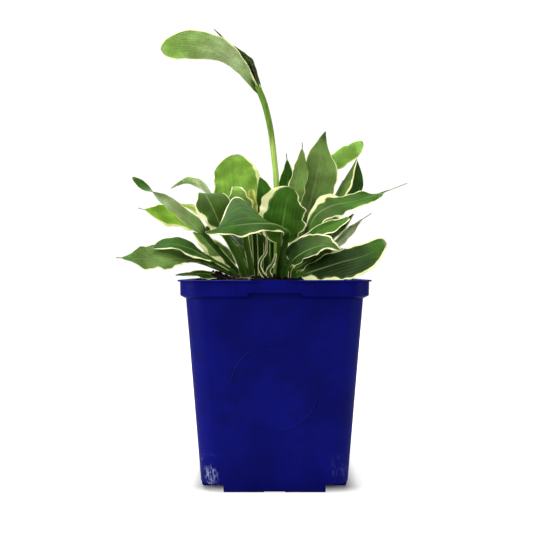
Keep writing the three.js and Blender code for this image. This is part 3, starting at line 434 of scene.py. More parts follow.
         (20, -9, 178), (23, -11, 195), (28, -13.5, 211), (36, -14, 227), (52, -9, 236), (71, -1, 240),
         (88, 9, 246), (105, 25, 252.5), (127, 45, 262)], broad=(0.4, 0.3), point=(2.6, 1.4),
         wave=(2.2, 2.6, 0.5), thread=30, ruffle=((0.8, 3, 0.2), (1.2, 3.4, 0.4)),
         cream=((0.8, 3, 8, 7, 0.9, 0.4, 0.4, 0.3, 0.3), (0.9, 0.9, 0.9, 0.6, 0.4)),
         upper="leaf olive leaf leaf sage"),
    dict(name="leaf_right_cupped", stalk=0.42, half=(6, 16), face=[(-0.2, -0.7, 0.7)], route=[(13, -13, 161),
         (13.5, -13.5, 180), (20, -17, 195), (27, -20, 204), (37, -25, 211.5), (50, -27, 218),
         (62, -24, 224)], broad=(0.42, 0.55), point=(0.95, 0.5), wave=(0.8, 2, 0), fold=(10, 25),
         ruffle=((0.5, 3, 0), (1, 3, 0.3)), cream=((0.7,), (1.3, 1.4, 1.5)), upper="dark mid leaf"),
    dict(name="leaf_right_shaded", stalk=0.45, half=(7, 7), face=[(-0.2, -0.6, 0.8)], route=[(25, 6, 161),
         (26, 6, 178), (40, 9, 200), (53, 11, 212), (64, 13, 222), (72, 14, 230)], wave=(0.8, 2, 0),
         cream=((0.8,), (1.3, 1.5, 1.3))),
    dict(name="leaf_right_narrow", stalk=0.45, half=(7, 7), face=[(-0.4, -0.4, 0.8)], route=[(27, -3, 161),
         (29, -3, 178), (38, -2, 189), (49, 0, 197), (60, 4, 206), (68, 8, 214.5), (77, 11, 223),
         (88, 13, 230.5)], wave=(0.5, 2, 0), thread=10, cream=((0.3,), (0.6, 0.6)), upper="mist",
         under="silver"),
    dict(name="leaf_front_wavy", stalk=0.34, half=(16, 8), face=[(-0.1, -0.8, 0.6)], route=[(9, -26, 161),
         (9, -28, 176), (14, -33, 186), (19, -38, 191), (28, -44, 196), (40, -52, 199), (52, -59, 195)],
         broad=(0.28, 0.4), wave=(2, 2.4, 0), ruffle=((1.6, 2.8, 0.3), (0.8, 3, 0)),
         cream=((2, 1.2, 1.3, 1.8, 3.5), (0.4, 0.5, 1.1, 2)), upper="deep shade olive shade"),
    dict(name="leaf_right_inner", stalk=0.3, half=(6, 7), face=[(-0.2, -0.7, 0.7)], route=[(15, -20, 161),
         (17, -21, 178), (24, -23, 184), (31, -25, 188), (43, -28, 194), (55, -30, 198)], wave=(0.8, 2, 0),
         cream=((1.8, 1.6), (1.2, 1.3))),
    # Painted shade and sheen: its deep greens darken it for the shade of the leaf in front, and the lighter
    # green towards its tip is a painted sheen
    dict(name="leaf_right_low", stalk=0.2, half=(12, 17), face=[(-0.15, -0.85, 0.5)], route=[(17, -27, 161),
         (18, -29, 172.5), (26, -36, 176), (35, -42, 179), (53, -53, 185), (73, -63, 191), (87, -71, 200)],
         broad=(0.6, 0.52), point=(0.35, 0.7), wave=(1.4, 3, 0.3), ruffle=((0.7, 4, 0.2), (0.9, 4, 0)),
         cream=((0.8, 0.8, 1, 1.4, 0.8), (2, 6, 6, 1.2, 1.6, 2, 2)), upper="deep deep deep shade leaf"),
    dict(name="leaf_rear_tall", stalk=0.42, half=(18, 18), face=[(0, -0.6, 0.8), (0, -0.1, 1),
         (0, 0.6, 0.8)], route=[(-6, 18, 161), (-6, 19, 178), (-7, 27, 205), (-9, 38, 230), (-11, 52, 243),
         (-12, 67, 240), (-12, 79, 231)], wave=(1.5, 2.5, 0), cream=((2, 2.4, 1.6), (1.6, 3, 1.4)),
         upper="dark mid", under="sage_pale"),
    # Painted shade: its underside has dark greens like its upper side, for the shade it lies in
    dict(name="leaf_rear_left", stalk=0.42, half=(15, 15), face=[(0.2, -0.2, 1)], route=[(-22, 20, 161),
         (-23, 21, 178), (-31, 35, 199), (-43, 50, 214), (-54, 62, 221), (-63, 71, 219), (-69, 78, 213)],
         wave=(1.5, 2.5, 0.4), cream=((1.4, 2, 1.2), (1.6, 2.2, 1)), upper="deep shade", under="shade dark"),
    dict(name="leaf_rear_right", stalk=0.42, half=(16, 16), face=[(-0.2, -0.2, 1)], route=[(8, 18, 161),
         (8, 19, 178), (16, 28, 202), (28, 39, 222), (42, 51, 232), (55, 63, 231), (65, 73, 224)],
         wave=(1.5, 2.5, 0.7), cream=((1.4, 2, 1.2), (2.6, 3.4, 1.6)), upper="dark mid", under="sage_pale"),
    dict(name="leaf_rear_low", stalk=0.12, half=(14, 15), face=[(0, -0.8, 0.6), (0, -0.5, 0.85),
         (0, 0.4, 0.9)], route=[(-10, 25, 161), (-9.5, 26, 176), (-8.5, 31, 192), (-7.5, 38, 206),
         (-7, 49, 215), (-7, 62, 216), (-7, 77, 209)], broad=(0.32, 0.32), point=(0.8, 0.8),
         wave=(1, 2, 0.2), cream=((0.8, 1.4, 1.2), (0.8, 1.4, 1)), upper="deep dark", under="sage_pale"),
    dict(name="leaf_rear_low_right", stalk=0.35, half=(15, 15), face=[(-0.2, -0.2, 1), (0.3, 0.3, 0.9)],
         route=[(16, 24, 161), (18, 26, 176), (33, 38, 189), (48, 50, 197), (62, 62, 197), (75, 73, 190)],
         wave=(1.5, 2.5, 0.5), cream=((1.6, 2.2, 1.4), (1.4, 1.8, 1)), upper="dark mid", under="sage_pale"),
    dict(name="leaf_rear_low_left", stalk=0.35, half=(15, 15), face=[(0.2, -0.2, 1), (-0.3, 0.3, 0.9)],
         route=[(-31, 18, 161), (-33, 20, 176), (-47, 31, 187), (-61, 43, 195), (-75, 54, 195),
         (-87, 63, 189)], wave=(1.5, 2.5, 0.9), cream=((1.2, 1.6, 1), (1.8, 2.6, 1.2)), upper="dark mid",
         under="sage_pale"),
]

# Two small curled young leaves between the stalks
CURLED_LEAVES = [
    dict(name="curled_leaf_tall", stalk=0.05, half=(1.6, 1.6), face=[(0.3, -0.9, 0.1), (-0.3, -0.9, 0.1)],
         route=[(-9, -27, 172), (-12, -28, 176), (-14, -28, 182), (-12, -28, 187.5), (-8.5, -27, 193),
         (-7.2, -26, 200), (-7.6, -25, 208)], broad=(0.5, 0.5), point=(0.4, 0.4), fold=(55, 55),
         cream=((1, 1, 1.2), (1, 1, 1.2)), upper="dark sage", under="sage_pale silver"),
    dict(name="curled_leaf_short", stalk=0.05, half=(1.8, 1.8), face=[(0.3, -0.9, 0.1), (-0.3, -0.9, 0.1)],
         route=[(-4.5, -28, 172), (-6.5, -28, 175.5), (-6, -28, 179), (-3, -28, 182.5), (-0.6, -28, 187),
         (0.6, -27.5, 193)], broad=(0.5, 0.5), point=(0.4, 0.4), fold=(45, 45), cream=((0.9, 1.2),
         (0.9, 1.2)), upper="dark sage", under="sage_pale sage_light"),
]

# The two bracts at the head of the flower stem, described as the leaves are
BRACTS = [
    dict(name="broad_bract", stalk=0.04, half=(15.5, 17), face=[(0.1, -0.92, 0.35)], route=[(-15, 2.5, 339),
         (-24, 0, 348), (-35.5, -2, 360), (-47, -4, 369), (-62, -6, 375), (-79, -8, 377.5), (-91, -9, 376),
         (-100.5, -10, 372.5)], broad=(0.82, 0.6), point=(0.5, 0.75), wave=(0.5, 1.5, 0),
         ruffle=((0.5, 2, 0), (0.5, 3, 0)), cream=((0.3, 0.3, 0.4, 0.8), (1.8, 0.7, 1, 0.6, 0.4)),
         upper="sage_pale silver sage_pale bright", under="sage_pale"),
    dict(name="narrow_bract", stalk=0.04, half=(4, 4), face=[(-0.4, -0.85, 0.3)], route=[(-13.5, 3, 341),
         (-16, 4.5, 349), (-18.8, 5.5, 358), (-22, 6, 366), (-32, 6, 374.5), (-40, 6, 380.5), (-47, 6, 388),
         (-55, 5, 396)], broad=(0.25, 0.25), point=(1.2, 1.2), fold=(50, 50), cream=((0.1,), (0.1,)),
         upper="purple purple sage sage_pale sage_pale", under="purple olive sage_pale"),
]

# The flower stem's route from the soil to its head
STEM_ROUTE = [(0, 2, 161), (1.3, 2, 196), (1.7, 2, 228), (1.1, 2, 259), (-0.5, 2, 277), (-2.1, 2, 291),
              (-4.2, 2, 306), (-6.8, 2, 318), (-9.5, 2, 328), (-12.7, 2, 336.5), (-16, 2.5, 343)]


def linear(hex_colour):
    """An sRGB hex colour as the linear values that a shader reads."""
    channels = [int(hex_colour[i:i + 2], 16) / 255 for i in (1, 3, 5)]
    return tuple(c / 12.92 if c <= 0.04045 else ((c + 0.055) / 1.055) ** 2.4 for c in channels) + (1.0,)


def add(tree, inputs=(), *, kind, **settings):
    """Adds one node with its properties and inputs. A node given as an input is linked by its live output."""
    item = tree.nodes.new(kind)
    for name, value in settings.items():
        setattr(item, name, value)
    for name, value in (inputs if isinstance(inputs, dict) else dict(enumerate(inputs))).items():
        if isinstance(value, bpy.types.Node):
            value = next(socket for socket in value.outputs if socket.enabled)
        if isinstance(value, bpy.types.NodeSocket):
            tree.links.new(value, item.inputs[name])
        else:
            item.inputs[name].default_value = value
    return item


def new_material(name):
    """A material with an empty node tree, and where its patterns lie on the object."""
    material = bpy.data.materials.new(name)
    material.use_nodes = True
    tree = material.node_tree
    tree.nodes.clear()
    return material, tree, add(tree, kind="ShaderNodeTexCoord").outputs["Object"]


def shade(tree, surface):
    """Ends a material with its shader, which takes the named values and nodes."""
    add(tree, [add(tree, surface, **SURFACE)], **OUTPUT)


def leaf_finish(name, green, cream, rib, rib_share, rough, bump):
    """Living hosta leaf: a waxy cuticle over green cells, with a pale margin that breaks into streaks."""
    material, tree, where = new_material(name)
    across, lengthways, _ = add(tree, [add(tree, kind="ShaderNodeUVMap", uv_map="blade")], **SPLIT).outputs
    seed, margin, cream_size, from_midrib, blade_share, stalk_share, dry_share = [
        add(tree, attribute_name=value, **ATTRIBUTE).outputs["Fac"] for value in ("seed", *POINT_VALUES)]
    base, stalk = [add(tree, attribute_name=value, **ATTRIBUTE) for value in (green, "stalk_green")]
    clouds, cells, drift = [
        add(tree, {"Vector": where, "Scale": 1 / (size * MM), "Detail": detail}, **NOISE)
        for size, detail in ((LEAF_CLOUD, 3), (LEAF_CELL, 1), (MARGIN_DRIFT, 2))]
    streak_place = add(tree, (add(tree, (across, STREAKS_ACROSS), **TIMES),
                              add(tree, (lengthways, BLADE_MAP_LENGTH / STREAK_LENGTH), **TIMES), seed),
                       kind="ShaderNodeCombineXYZ")
    streaks = add(tree, {"Vector": streak_place, "Scale": 1, "Detail": 3, "Distortion": 0.4}, **NOISE)

    # The margin's inner edge wanders along the streaks, and less where the margin is thin
    wander = add(tree, (streaks, STREAK_WANDER, -(STREAK_WANDER + DRIFT_WANDER) / 2), **TIMES_PLUS)
    wander = add(tree, (drift, DRIFT_WANDER, wander), **TIMES_PLUS)
    calm = add(tree, (cream_size, *CREAM_TO_WANDER), **SPAN)
    inside = add(tree, (wander, calm, margin), **TIMES_PLUS)
    is_green = add(tree, (add(tree, (inside, *DEPTH_TO_GREEN), **SPAN),
                          add(tree, (cream_size, *CREAM_TO_GREEN), **SPAN)), **LARGER)
    streaky_edge = add(tree, (streaks, EDGE_STREAK, inside), **TIMES_PLUS)
    near_edge = add(tree, (add(tree, (streaky_edge, *DEPTH_TO_EDGE), **SPAN),
                           add(tree, (cream_size, *CREAM_TO_EDGE), **SPAN)), **TIMES)

    # Side veins run from base to tip beside each other, and the midrib is a pale line down the middle
    vein_wave = add(tree, (add(tree, (across, 2 * VEINS), **TIMES), HALF_WAVE), **ZIGZAG)
    on_blade = add(tree, (1, stalk_share), use_clamp=True, **MINUS)
    vein_line = add(tree, (add(tree, (vein_wave, *WAVE_TO_VEIN), **SPAN), on_blade), **TIMES)
    rib_line = add(tree, (add(tree, (from_midrib, *PLACE_TO_MIDRIB), **SPAN),
                          add(tree, (blade_share, 1, 0, 0, rib_share), **SPAN)), **TIMES)

    dull, streaky = [add(tree, {0: 1, 6: base, 7: linear(tone)}, **TINT) for tone in (DULL_TINT, STREAK_TINT)]
    by_edge, by_vein = [add(tree, {0: share, 6: base, 7: linear(tone)}, **BLEND)
                        for share, tone in (NEAR_EDGE_TONE, VEIN_TONE)]
    streaky_stalk = add(tree, {0: 1, 6: stalk, 7: linear(STALK_TINT)}, **TINT)
    stalk_part = add(tree, {0: add(tree, (streaks, *STREAKS_TO_STALK), **SPAN),
                            6: stalk, 7: streaky_stalk}, **BLEND)
    green_part = dull
    for share, tone in (
        (add(tree, (clouds, *CLOUDS_TO_GREEN), **SPAN), base),
        (add(tree, (streaks, *STREAKS_TO_GREEN), **SPAN), streaky),
        (near_edge, by_edge),
        (add(tree, (vein_line, VEIN_SHARE), **TIMES), by_vein),
        (rib_line, linear(rib)),
        (stalk_share, stalk_part),
    ):
        green_part = add(tree, {0: share, 6: green_part, 7: tone}, **BLEND)
    cream_part = add(tree, {0: add(tree, (streaks, *STREAKS_TO_CREAM), **SPAN),
                            6: linear(cream), 7: linear(CREAM_STREAK_TONE)}, **BLEND)
    living = add(tree, {0: is_green, 6: cream_part, 7: green_part}, **BLEND)
    vein_relief = add(tree, (vein_line, -VEIN_RELIEF), **TIMES)
    relief = add(tree, (cells, CELL_RELIEF, vein_relief), **TIMES_PLUS)
    smoothest, roughest = rough - LESS_ROUGH, rough + MORE_ROUGH
    shade(tree, {
        "Base Color": add(tree, {0: dry_share, 6: living, 7: linear(DRY_TIP_TONE)}, **BLEND),
        "Roughness": add(tree, (clouds, *CLOUDS_TO_ROUGHNESS, smoothest, roughest), **SPAN),
        "IOR": 1.42,
        "Specular IOR Level": LEAF_GLOSS,
        "Subsurface Weight": 0.5,
        "Subsurface Radius": (0.8, 1.0, 0.25),
        "Subsurface Scale": LIGHT_DEPTH * MM,
        "Normal": add(tree, {"Strength": bump, "Distance": LEAF_RELIEF * MM, "Height": relief}, **RELIEF),
    })
    return material


def stem_finish():
    """Flower stem: smooth living stalk, yellow-green low down and a deeper green towards its head."""
    material, tree, where = new_material("hosta_flower_stalk")
    height = add(tree, [where], **SPLIT).outputs["Z"]
    drawn_out = add(tree, {"Vector": where, "Scale": (1, 1, STEM_FIBRE / STEM_FIBRE_LENGTH)}, **MAPPING)
    fibres = add(tree, {"Vector": drawn_out, "Scale": 1 / (STEM_FIBRE * MM), "Detail": 2}, **NOISE)
    rise = add(tree, [add(tree, (height, *HEIGHT_TO_STEM_GREEN), **SPAN)], kind="ShaderNodeValToRGB")
    stops = rise.color_ramp.elements
    stops.remove(stops[0])
    stops[0].position, stops[0].color = 0, linear(STEM_GREENS[0][1])
    for position, colour in STEM_GREENS[1:]:
        stops.new(position).color = linear(colour)
    darker = add(tree, {0: 1, 6: rise, 7: linear(STEM_TINT)}, **TINT)
    streaks = add(tree, (fibres, *FIBRES_TO_STEM), **SPAN)
    shade(tree, {
        "Base Color": add(tree, {0: streaks, 6: rise, 7: darker}, **BLEND),
        "Roughness": 0.42,
        "Specular IOR Level": 0.18,
        "Normal": add(tree, {"Strength": 0.35, "Distance": STEM_RELIEF * MM, "Height": fibres}, **RELIEF),
    })
    return material


def pot_finish():
    """Polypropylene, injection moulded: royal blue, a satin skin, faint stains and pale scuffs low down."""
    material, tree, where = new_material("polypropylene_moulded_royal_blue")
    x, y, z = add(tree, [where], **SPLIT).outputs
    clouds = add(tree, {"Vector": where, "Scale": 1 / (POT_CLOUD * MM), "Detail": 4}, **NOISE)
    grain = add(tree, {"Vector": where, "Scale": 1 / (POT_GRAIN * MM), "Detail": 2}, **NOISE)
    stains = add(tree, {"Vector": where, "Scale": 1 / (POT_STAIN * MM), "Detail": 5, "Distortion": 0.6},
                 **NOISE)
    blue = add(tree, {0: add(tree, (clouds, *CLOUDS_TO_BLUE), **SPAN),
                      6: linear(DEEP_BLUE), 7: linear(ROYAL_BLUE)}, **BLEND)
    blue = add(tree, {0: add(tree, (stains, *STAINS_TO_BLUE), **SPAN),
                      6: blue, 7: linear(STAIN_BLUE)}, **BLEND)

    # Scuffs: thin pale scratches where the corners near the foot rub on trays, most of them on one side
    from_middle = add(tree, [add(tree, [side], **UNSIGNED) for side in (x, y)], **PLUS)
    drawn_out = add(tree, {"Vector": where, "Scale": (1, 1, SCRATCH_UPRIGHT)}, **MAPPING)
    scratches = add(tree, {"Vector": drawn_out, "Scale": 1 / (SCRATCH * MM), "Detail": 1, "Distortion": 1.2},
                    **NOISE)
    from_line = add(tree, [add(tree, (scratches, NOISE_MIDDLE), **MINUS)], **UNSIGNED)
    patches = add(tree, {"Vector": where, "Scale": 1 / (SCUFF_PATCH * MM), "Detail": 1}, **NOISE)
    scuff = SCUFF_SHARE
    for value, span in ((from_middle, CORNER_TO_SCUFF), (z, HEIGHT_TO_SCUFF), (from_line, LINE_TO_SCUFF),
                        (patches, PATCH_TO_SCUFF), (x, SIDE_TO_SCUFF)):
        scuff = add(tree, (add(tree, (value, *span), **SPAN), scuff), **TIMES)
    relief = add(tree, (grain, GRAIN_RELIEF, add(tree, (clouds, CLOUD_RELIEF), **TIMES)), **TIMES_PLUS)
    shade(tree, {
        "Base Color": add(tree, {0: scuff, 6: blue, 7: linear(SCUFF_TONE)}, **BLEND),
        "Roughness": add(tree, (clouds, *CLOUDS_TO_SATIN), **SPAN),
        "IOR": 1.49,
        "Specular IOR Level": 0.08,
        "Normal": add(tree, {"Strength": 0.3, "Distance": POT_RELIEF * MM, "Height": relief}, **RELIEF),
    })
    return material


def soil_finish(name, dark, brown, light):
    """Potting mix: damp composted peat and bark, nearly black, with a few lighter grains."""
    material, tree, where = new_material(name)
    lumps, grains = [add(tree, {"Vector": where, "Scale": 1 / (size * MM), "Detail": detail}, **NOISE)
                     for size, detail in ((SOIL_LUMP, 4), (SOIL_GRAIN, 3))]
    colour = add(tree, {0: add(tree, (lumps, *LUMPS_TO_SOIL), **SPAN),
                        6: linear(dark), 7: linear(brown)}, **BLEND)
    pale_grains = add(tree, (grains, *GRAINS_TO_SOIL), **SPAN)
    relief = add(tree, (lumps, grains), **PLUS)
    shade(tree, {
        "Base Color": add(tree, {0: pale_grains, 6: colour, 7: linear(light)}, **BLEND),
        "Roughness": 0.92,
        "Specular IOR Level": 0.1,
        "Normal": add(tree, {"Strength": 0.8, "Distance": SOIL_RELIEF * MM, "Height": relief}, **RELIEF),
    })
    return material


def fibre_finish():
    """Dry roots and straw: thin beige fibres, matt."""
    material, tree, where = new_material("straw_dry_beige")
    tones = add(tree, {"Vector": where, "Scale": 1 / (STRAW_TONE * MM), "Detail": 2}, **NOISE)
    shade(tree, {
        "Base Color": add(tree, {0: add(tree, (tones, *TONES_TO_STRAW), **SPAN),
                                 6: linear(DARK_STRAW), 7: linear(PALE_STRAW)}, **BLEND),
        "Roughness": 0.85,
    })
    return material


def floor_finish():
    """Plain white studio sweep, glowing for the camera alone. Near the pot the glow fades, and beneath it
    it drops away: a painted shadow along with the pot's real shadow. Further off it is seen as pure white.
    """
    material, tree, where = new_material("paper_sweep_white")
    away = add(tree, [where], kind="ShaderNodeVectorMath", operation="LENGTH")
    seen = add(tree, kind="ShaderNodeLightPath").outputs["Is Camera Ray"]
    glow = add(tree, (away, FLOOR_GLOW_START, FLOOR_GLOW_END, FLOOR_GLOW_NEAR, FLOOR_GLOW_FAR), **SPAN)

    # The glow is left out below the pot, where it would drown the pot's own shadow. The box over which it
    # fades out paints a shadow of its own there.
    x, y, _ = add(tree, [where], **SPLIT).outputs
    painted_shadow_under_pot = FLOOR_GLOW_NEAR
    for side, span in ((x, WIDTH_TO_SHADOW), (y, DEPTH_TO_SHADOW)):
        from_axis = add(tree, [side], **UNSIGNED)
        painted_shadow_under_pot = add(tree, (add(tree, (from_axis, *span), **SPAN), painted_shadow_under_pot), **TIMES)
    glow = add(tree, (glow, painted_shadow_under_pot), **MINUS)
    shade(tree, {
        "Base Color": linear(SWEEP_GREY),
        "Roughness": 0.95,
        "Specular IOR Level": 0.1,
        "Emission Color": (1, 1, 1, 1),
        "Emission Strength": add(tree, (glow, seen), **TIMES),
    })
    return material


def deselect():
    """Leaves edit mode and lets go of everything, so that an operator acts only on what is chosen for it."""
    if bpy.context.object and bpy.context.object.mode != "OBJECT":
        bpy.ops.object.mode_set(mode="OBJECT")
    bpy.ops.object.select_all(action="DESELECT")


def choose(*pieces):
    """Selects pieces and nothing else, with the first of them as the active one."""
    deselect()
    for piece in pieces:
        piece.select_set(True)
    bpy.context.view_layer.objects.active = pieces[0]


def joined(pieces):
    """Joins pieces into the first of them."""
    choose(*pieces)
    bpy.ops.object.join()
    return pieces[0]


def apply_modifier(piece, kind, **settings):
    """Adds a modifier to a piece, sets it and applies it."""
    choose(piece)
    modifier = piece.modifiers.new(kind.lower(), kind)
    for name, value in settings.items():
        setattr(modifier, name, value)
    bpy.ops.object.modifier_apply(modifier=modifier.name)


def smooth(piece, degrees):
    """Shades a piece smooth, apart from edges that are sharper than the angle."""
    choose(piece)
    bpy.ops.object.shade_smooth_by_angle(angle=math.radians(degrees))


def dress(piece, name, slot, *nodes):
    """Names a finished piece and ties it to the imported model."""
    piece.name = name
    piece.data.name = name
    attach(piece, "root")
    if nodes:
        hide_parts(*nodes)


def along(values, share):
    """Value of a list that runs evenly from the blade's base to its tip."""
    if len(values) == 1:
        return np.array(values[0], float)
    place = min(max(share, 0.0), 1.0) * (len(values) - 1)
    start = min(int(place), len(values) - 2)
    first, second = np.array(values[start], float), np.array(values[start + 1], float)
    return first + (second - first) * (place - start)


class Route:
    """A smooth curve through the points of a leaf or stem, measured along its length."""

    SAMPLES = 40

    def __init__(self, points):
        knots = [np.array(p, float) + (PLANT_X, 0, 0) for p in points]
        knots = [2 * knots[0] - knots[1]] + knots + [2 * knots[-1] - knots[-2]]
        places = []
        for i in range(1, len(knots) - 2):
            start, end = knots[i], knots[i + 1]
            leave, arrive = (end - knots[i - 1]) / 2, (knots[i + 2] - start) / 2
            for t in np.arange(self.SAMPLES) / self.SAMPLES:
                places.append(start + leave * t + (3 * (end - start) - 2 * leave - arrive) * t * t
                              + (2 * (start - end) + leave + arrive) * t ** 3)
        places.append(knots[-2])
        self.places = np.array(places)
        steps = np.linalg.norm(np.diff(self.places, axis=0), axis=1)
        self.reached = np.concatenate([[0], np.cumsum(steps)])
        self.length = self.reached[-1]

    def at(self, share):
        """The place at a share of the length."""
        return np.array([np.interp(share * self.length, self.reached, self.places[:, k]) for k in range(3)])

    def heading(self, share):
        """The direction there, of length 1."""
        ahead = self.at(min(1, share + HEADING_STEP)) - self.at(max(0, share - HEADING_STEP))
        return ahead / np.linalg.norm(ahead)


def stations_of(leaf, length):
    """Each row's share of the whole length and its place in stalk, blade and bare tip, from base to tip."""
    blade_end = 1 - leaf["thread"] / length
    steps = STALK_STEPS if leaf["stalk"] > SHORT_STALK else SHORT_STALK_STEPS
    stations = [(leaf["stalk"] * i / steps, i / steps, 0.0, 0.0) for i in range(steps)]
    for i in range(BLADE_STEPS + 1):
        even = i / BLADE_STEPS
        blade = EVEN_BLADE_STEPS * even + (1 - EVEN_BLADE_STEPS) * (1 - math.cos(math.pi * even)) / 2
        stations.append((leaf["stalk"] + (blade_end - leaf["stalk"]) * blade, 1.0, blade, 0.0))
    if leaf["thread"]:
        for i in range(1, THREAD_STEPS + 1):
            stations.append((blade_end + (1 - blade_end) * i / THREAD_STEPS, 1.0, 1.0, i / THREAD_STEPS))
    return stations


def outline_at(leaf, side, blade):
    """Share of the full half width at a place along the blade."""
    broad, point = leaf["broad"][side], leaf["point"][side]
    base = point * broad / (1 - broad)
    return blade ** base * (1 - blade) ** point / (broad ** base * (1 - broad) ** point)


def leaf_row(leaf, route, station, number):
    """Middle surface of a leaf at one station from its left edge to its right, and what its finish reads."""
    at, stalk, blade, _ = station
    forward = route.heading(at)
    face = along(leaf["face"], blade)
    face = face - forward * face.dot(forward)
    face /= np.linalg.norm(face)
    right = np.cross(forward, face)
    stalk_half = STALK_HALF_WIDTH + (STALK_TOP_HALF_WIDTH - STALK_HALF_WIDTH) * stalk
    narrow = stalk_half * (1 - blade) ** 3 + TIP_HALF_WIDTH * blade
    channel = CHANNEL_DEPTH * max(0.0, 1 - CHANNEL_FADE * blade)
    swell = min(1.0, BLADE_SWELL * blade * (1 - blade))
    height, count, phase = leaf["wave"]
    centre = route.at(at)
    row, margins, creams, from_midrib = [], [], [], []
    for place in np.linspace(-1, 1, ACROSS + 1):
        side = 0 if place < 0 else 1
        reach = abs(place)
        fold = math.radians(leaf["fold"][side])
        half = narrow + leaf["half"][side] * outline_at(leaf, side, blade)
        turns = count * blade + phase + SIDES_APART * side
        fine_turns = FINE_WAVE_COUNT * turns + FINE_WAVE_START
        wave = height * swell * (reach ** 2 * math.sin(2 * math.pi * turns)
                                 + FINE_WAVE * reach ** 4 * math.sin(2 * math.pi * fine_turns))
        curl = float(along(leaf["curl"][side], blade)) * swell
        lift = half * reach * math.sin(fold) + (channel + curl) * reach ** 2 + wave
        amount, swings, start = leaf["ruffle"][side]
        swing = amount * math.sin(2 * math.pi * (swings * blade + start))
        fine_swings = FINE_RUFFLE_COUNT * swings * blade + 2 * start
        swing += FINE_RUFFLE * amount * math.sin(2 * math.pi * fine_swings)
        wander_place = Vector((at * route.length / EDGE_WANDER_LENGTH, EDGE_SIDE * side, number))
        swing += EDGE_WANDER * noise.noise(wander_place)
        swing *= swell * reach ** 3
        vein = abs(math.sin(math.pi * VEINS * reach)) * VEIN_DEPTH * swell
        groove = MIDRIB_GROOVE * math.exp(-(half * reach / MIDRIB_GROOVE_WIDTH) ** 2)
        groove *= min(1.0, GROOVE_RISE * blade) * (1 - blade)
        out = math.copysign((half * reach + swing) * math.cos(fold), place)
        row.append(centre + right * out + face * (lift + vein - groove))
        cream = float(along(leaf["cream"][side], blade)) if blade > 0 else STALK_MARGIN
        cream *= min(1.0, half / (MARGIN_TAPER * leaf["half"][side] + MARGIN_TAPER_START))
        change_place = Vector((at * route.length / MARGIN_CHANGE_LENGTH, MARGIN_SIDE * side, number + 0.5))
        cream *= 1 + MARGIN_CHANGE * noise.noise(change_place)
        margins.append(half * (1 - reach) - cream)
        creams.append(cream)
        from_midrib.append(half * reach)
    return row, margins, creams, from_midrib


def under_depth(blade, place):
    """How far the underside stands below the upper side, thin at the margin and thick along the stalk."""
    stalk_part = STALK_DEPTH * (1 - place ** 2) * max(0.0, 1 - STALK_DEPTH_FADE * blade)
    midrib = MIDRIB_DEPTH * (1 - abs(place)) ** 3 * (1 - blade)
    body = EDGE_THICKNESS + (BLADE_THICKNESS - EDGE_THICKNESS) * (1 - place ** 4)
    return body + max(stalk_part, midrib)


def write_layer(mesh, name, kind, field, values):
    """Gives every vertex of a mesh a value or a colour that a finish reads by name."""
    layer = mesh.attributes.new(name, kind, "POINT")
    layer.data.foreach_set(field, np.array(values, np.float32).ravel())


def make_leaf(leaf, number):
    """One leaf from a flat grid: shaped along its route, then given its thickness, its map and its finish."""
    leaf = {**PLAIN_LEAF, **leaf}
    route = Route(leaf["route"])
    stations = stations_of(leaf, route.length)
    rows = [leaf_row(leaf, route, station, number) for station in stations]
    surface, margin, cream_width, from_midrib = [np.array(part) for part in zip(*rows)]
    along_all, _, blade, bare_tip = np.array(stations).T
    up = np.cross(np.gradient(surface, axis=1), np.gradient(surface, axis=0))
    up /= np.linalg.norm(up, axis=2, keepdims=True)
    surface = surface + up * BLADE_THICKNESS / 2

    deselect()
    bpy.ops.mesh.primitive_grid_add(x_subdivisions=ACROSS, y_subdivisions=len(stations) - 1, size=2)
    piece = bpy.context.object
    mesh = piece.data
    i = np.array([round((v.co.y + 1) / 2 * (len(stations) - 1)) for v in mesh.vertices])
    j = np.array([round((v.co.x + 1) / 2 * ACROSS) for v in mesh.vertices])
    mesh.vertices.foreach_set("co", surface[i, j].ravel() * MM)
    places = np.linspace(-1, 1, ACROSS + 1)
    thickness = [under_depth(blade[row], places[column]) for row, column in zip(i, j)]
    thickest = float(max(thickness))
    group = piece.vertex_groups.new(name="thickness")
    for index, depth in enumerate(thickness):
        group.add([index], float(depth) / thickest, "REPLACE")

    dry = np.maximum(bare_tip, DRY_TIP * np.maximum(0, blade - DRY_TIP_START) / (1 - DRY_TIP_START))
    stalk_share = np.clip(1 - STALK_COLOUR_FADE * blade, 0, 1)
    values = (margin[i, j], cream_width[i, j], from_midrib[i, j], blade[i], stalk_share[i], dry[i])
    for name, column in zip(POINT_VALUES, values, strict=True):
        write_layer(mesh, name, "FLOAT", "value", column)
    write_layer(mesh, "seed", "FLOAT", "value", [number * SEED_STEP] * len(i))
    for side in ("upper", "under"):
        greens = [linear(GREENS[green]) for green in leaf[side].split()]
        shades = np.array([along(greens, share) for share in blade])
        write_layer(mesh, side + "_green", "FLOAT_COLOR", "color", shades[i])
    # The stalk's green, darkened in part as painted shade beneath the leaves
    stalk_green = linear(STALK_GREENS_AND_SHADE[number % len(STALK_GREENS_AND_SHADE)])
    write_layer(mesh, "stalk_green", "FLOAT_COLOR", "color", [stalk_green] * len(i))

    layer = mesh.uv_layers[0]
    layer.name = "blade"
    for loop in mesh.loops:
        row, column = i[loop.vertex_index], j[loop.vertex_index]
        layer.data[loop.index].uv = (column / ACROSS, along_all[row] * route.length / BLADE_MAP_LENGTH)

    mesh.materials.append(LEAF_UPPER)
    mesh.materials.append(LEAF_UNDER)
    apply_modifier(piece, "SOLIDIFY", thickness=thickest * MM, offset=-1, vertex_group="thickness",
                   use_even_offset=False, material_offset=1, material_offset_rim=0)
    piece.vertex_groups.clear()
    smooth(piece, LEAF_SMOOTH)
    return piece


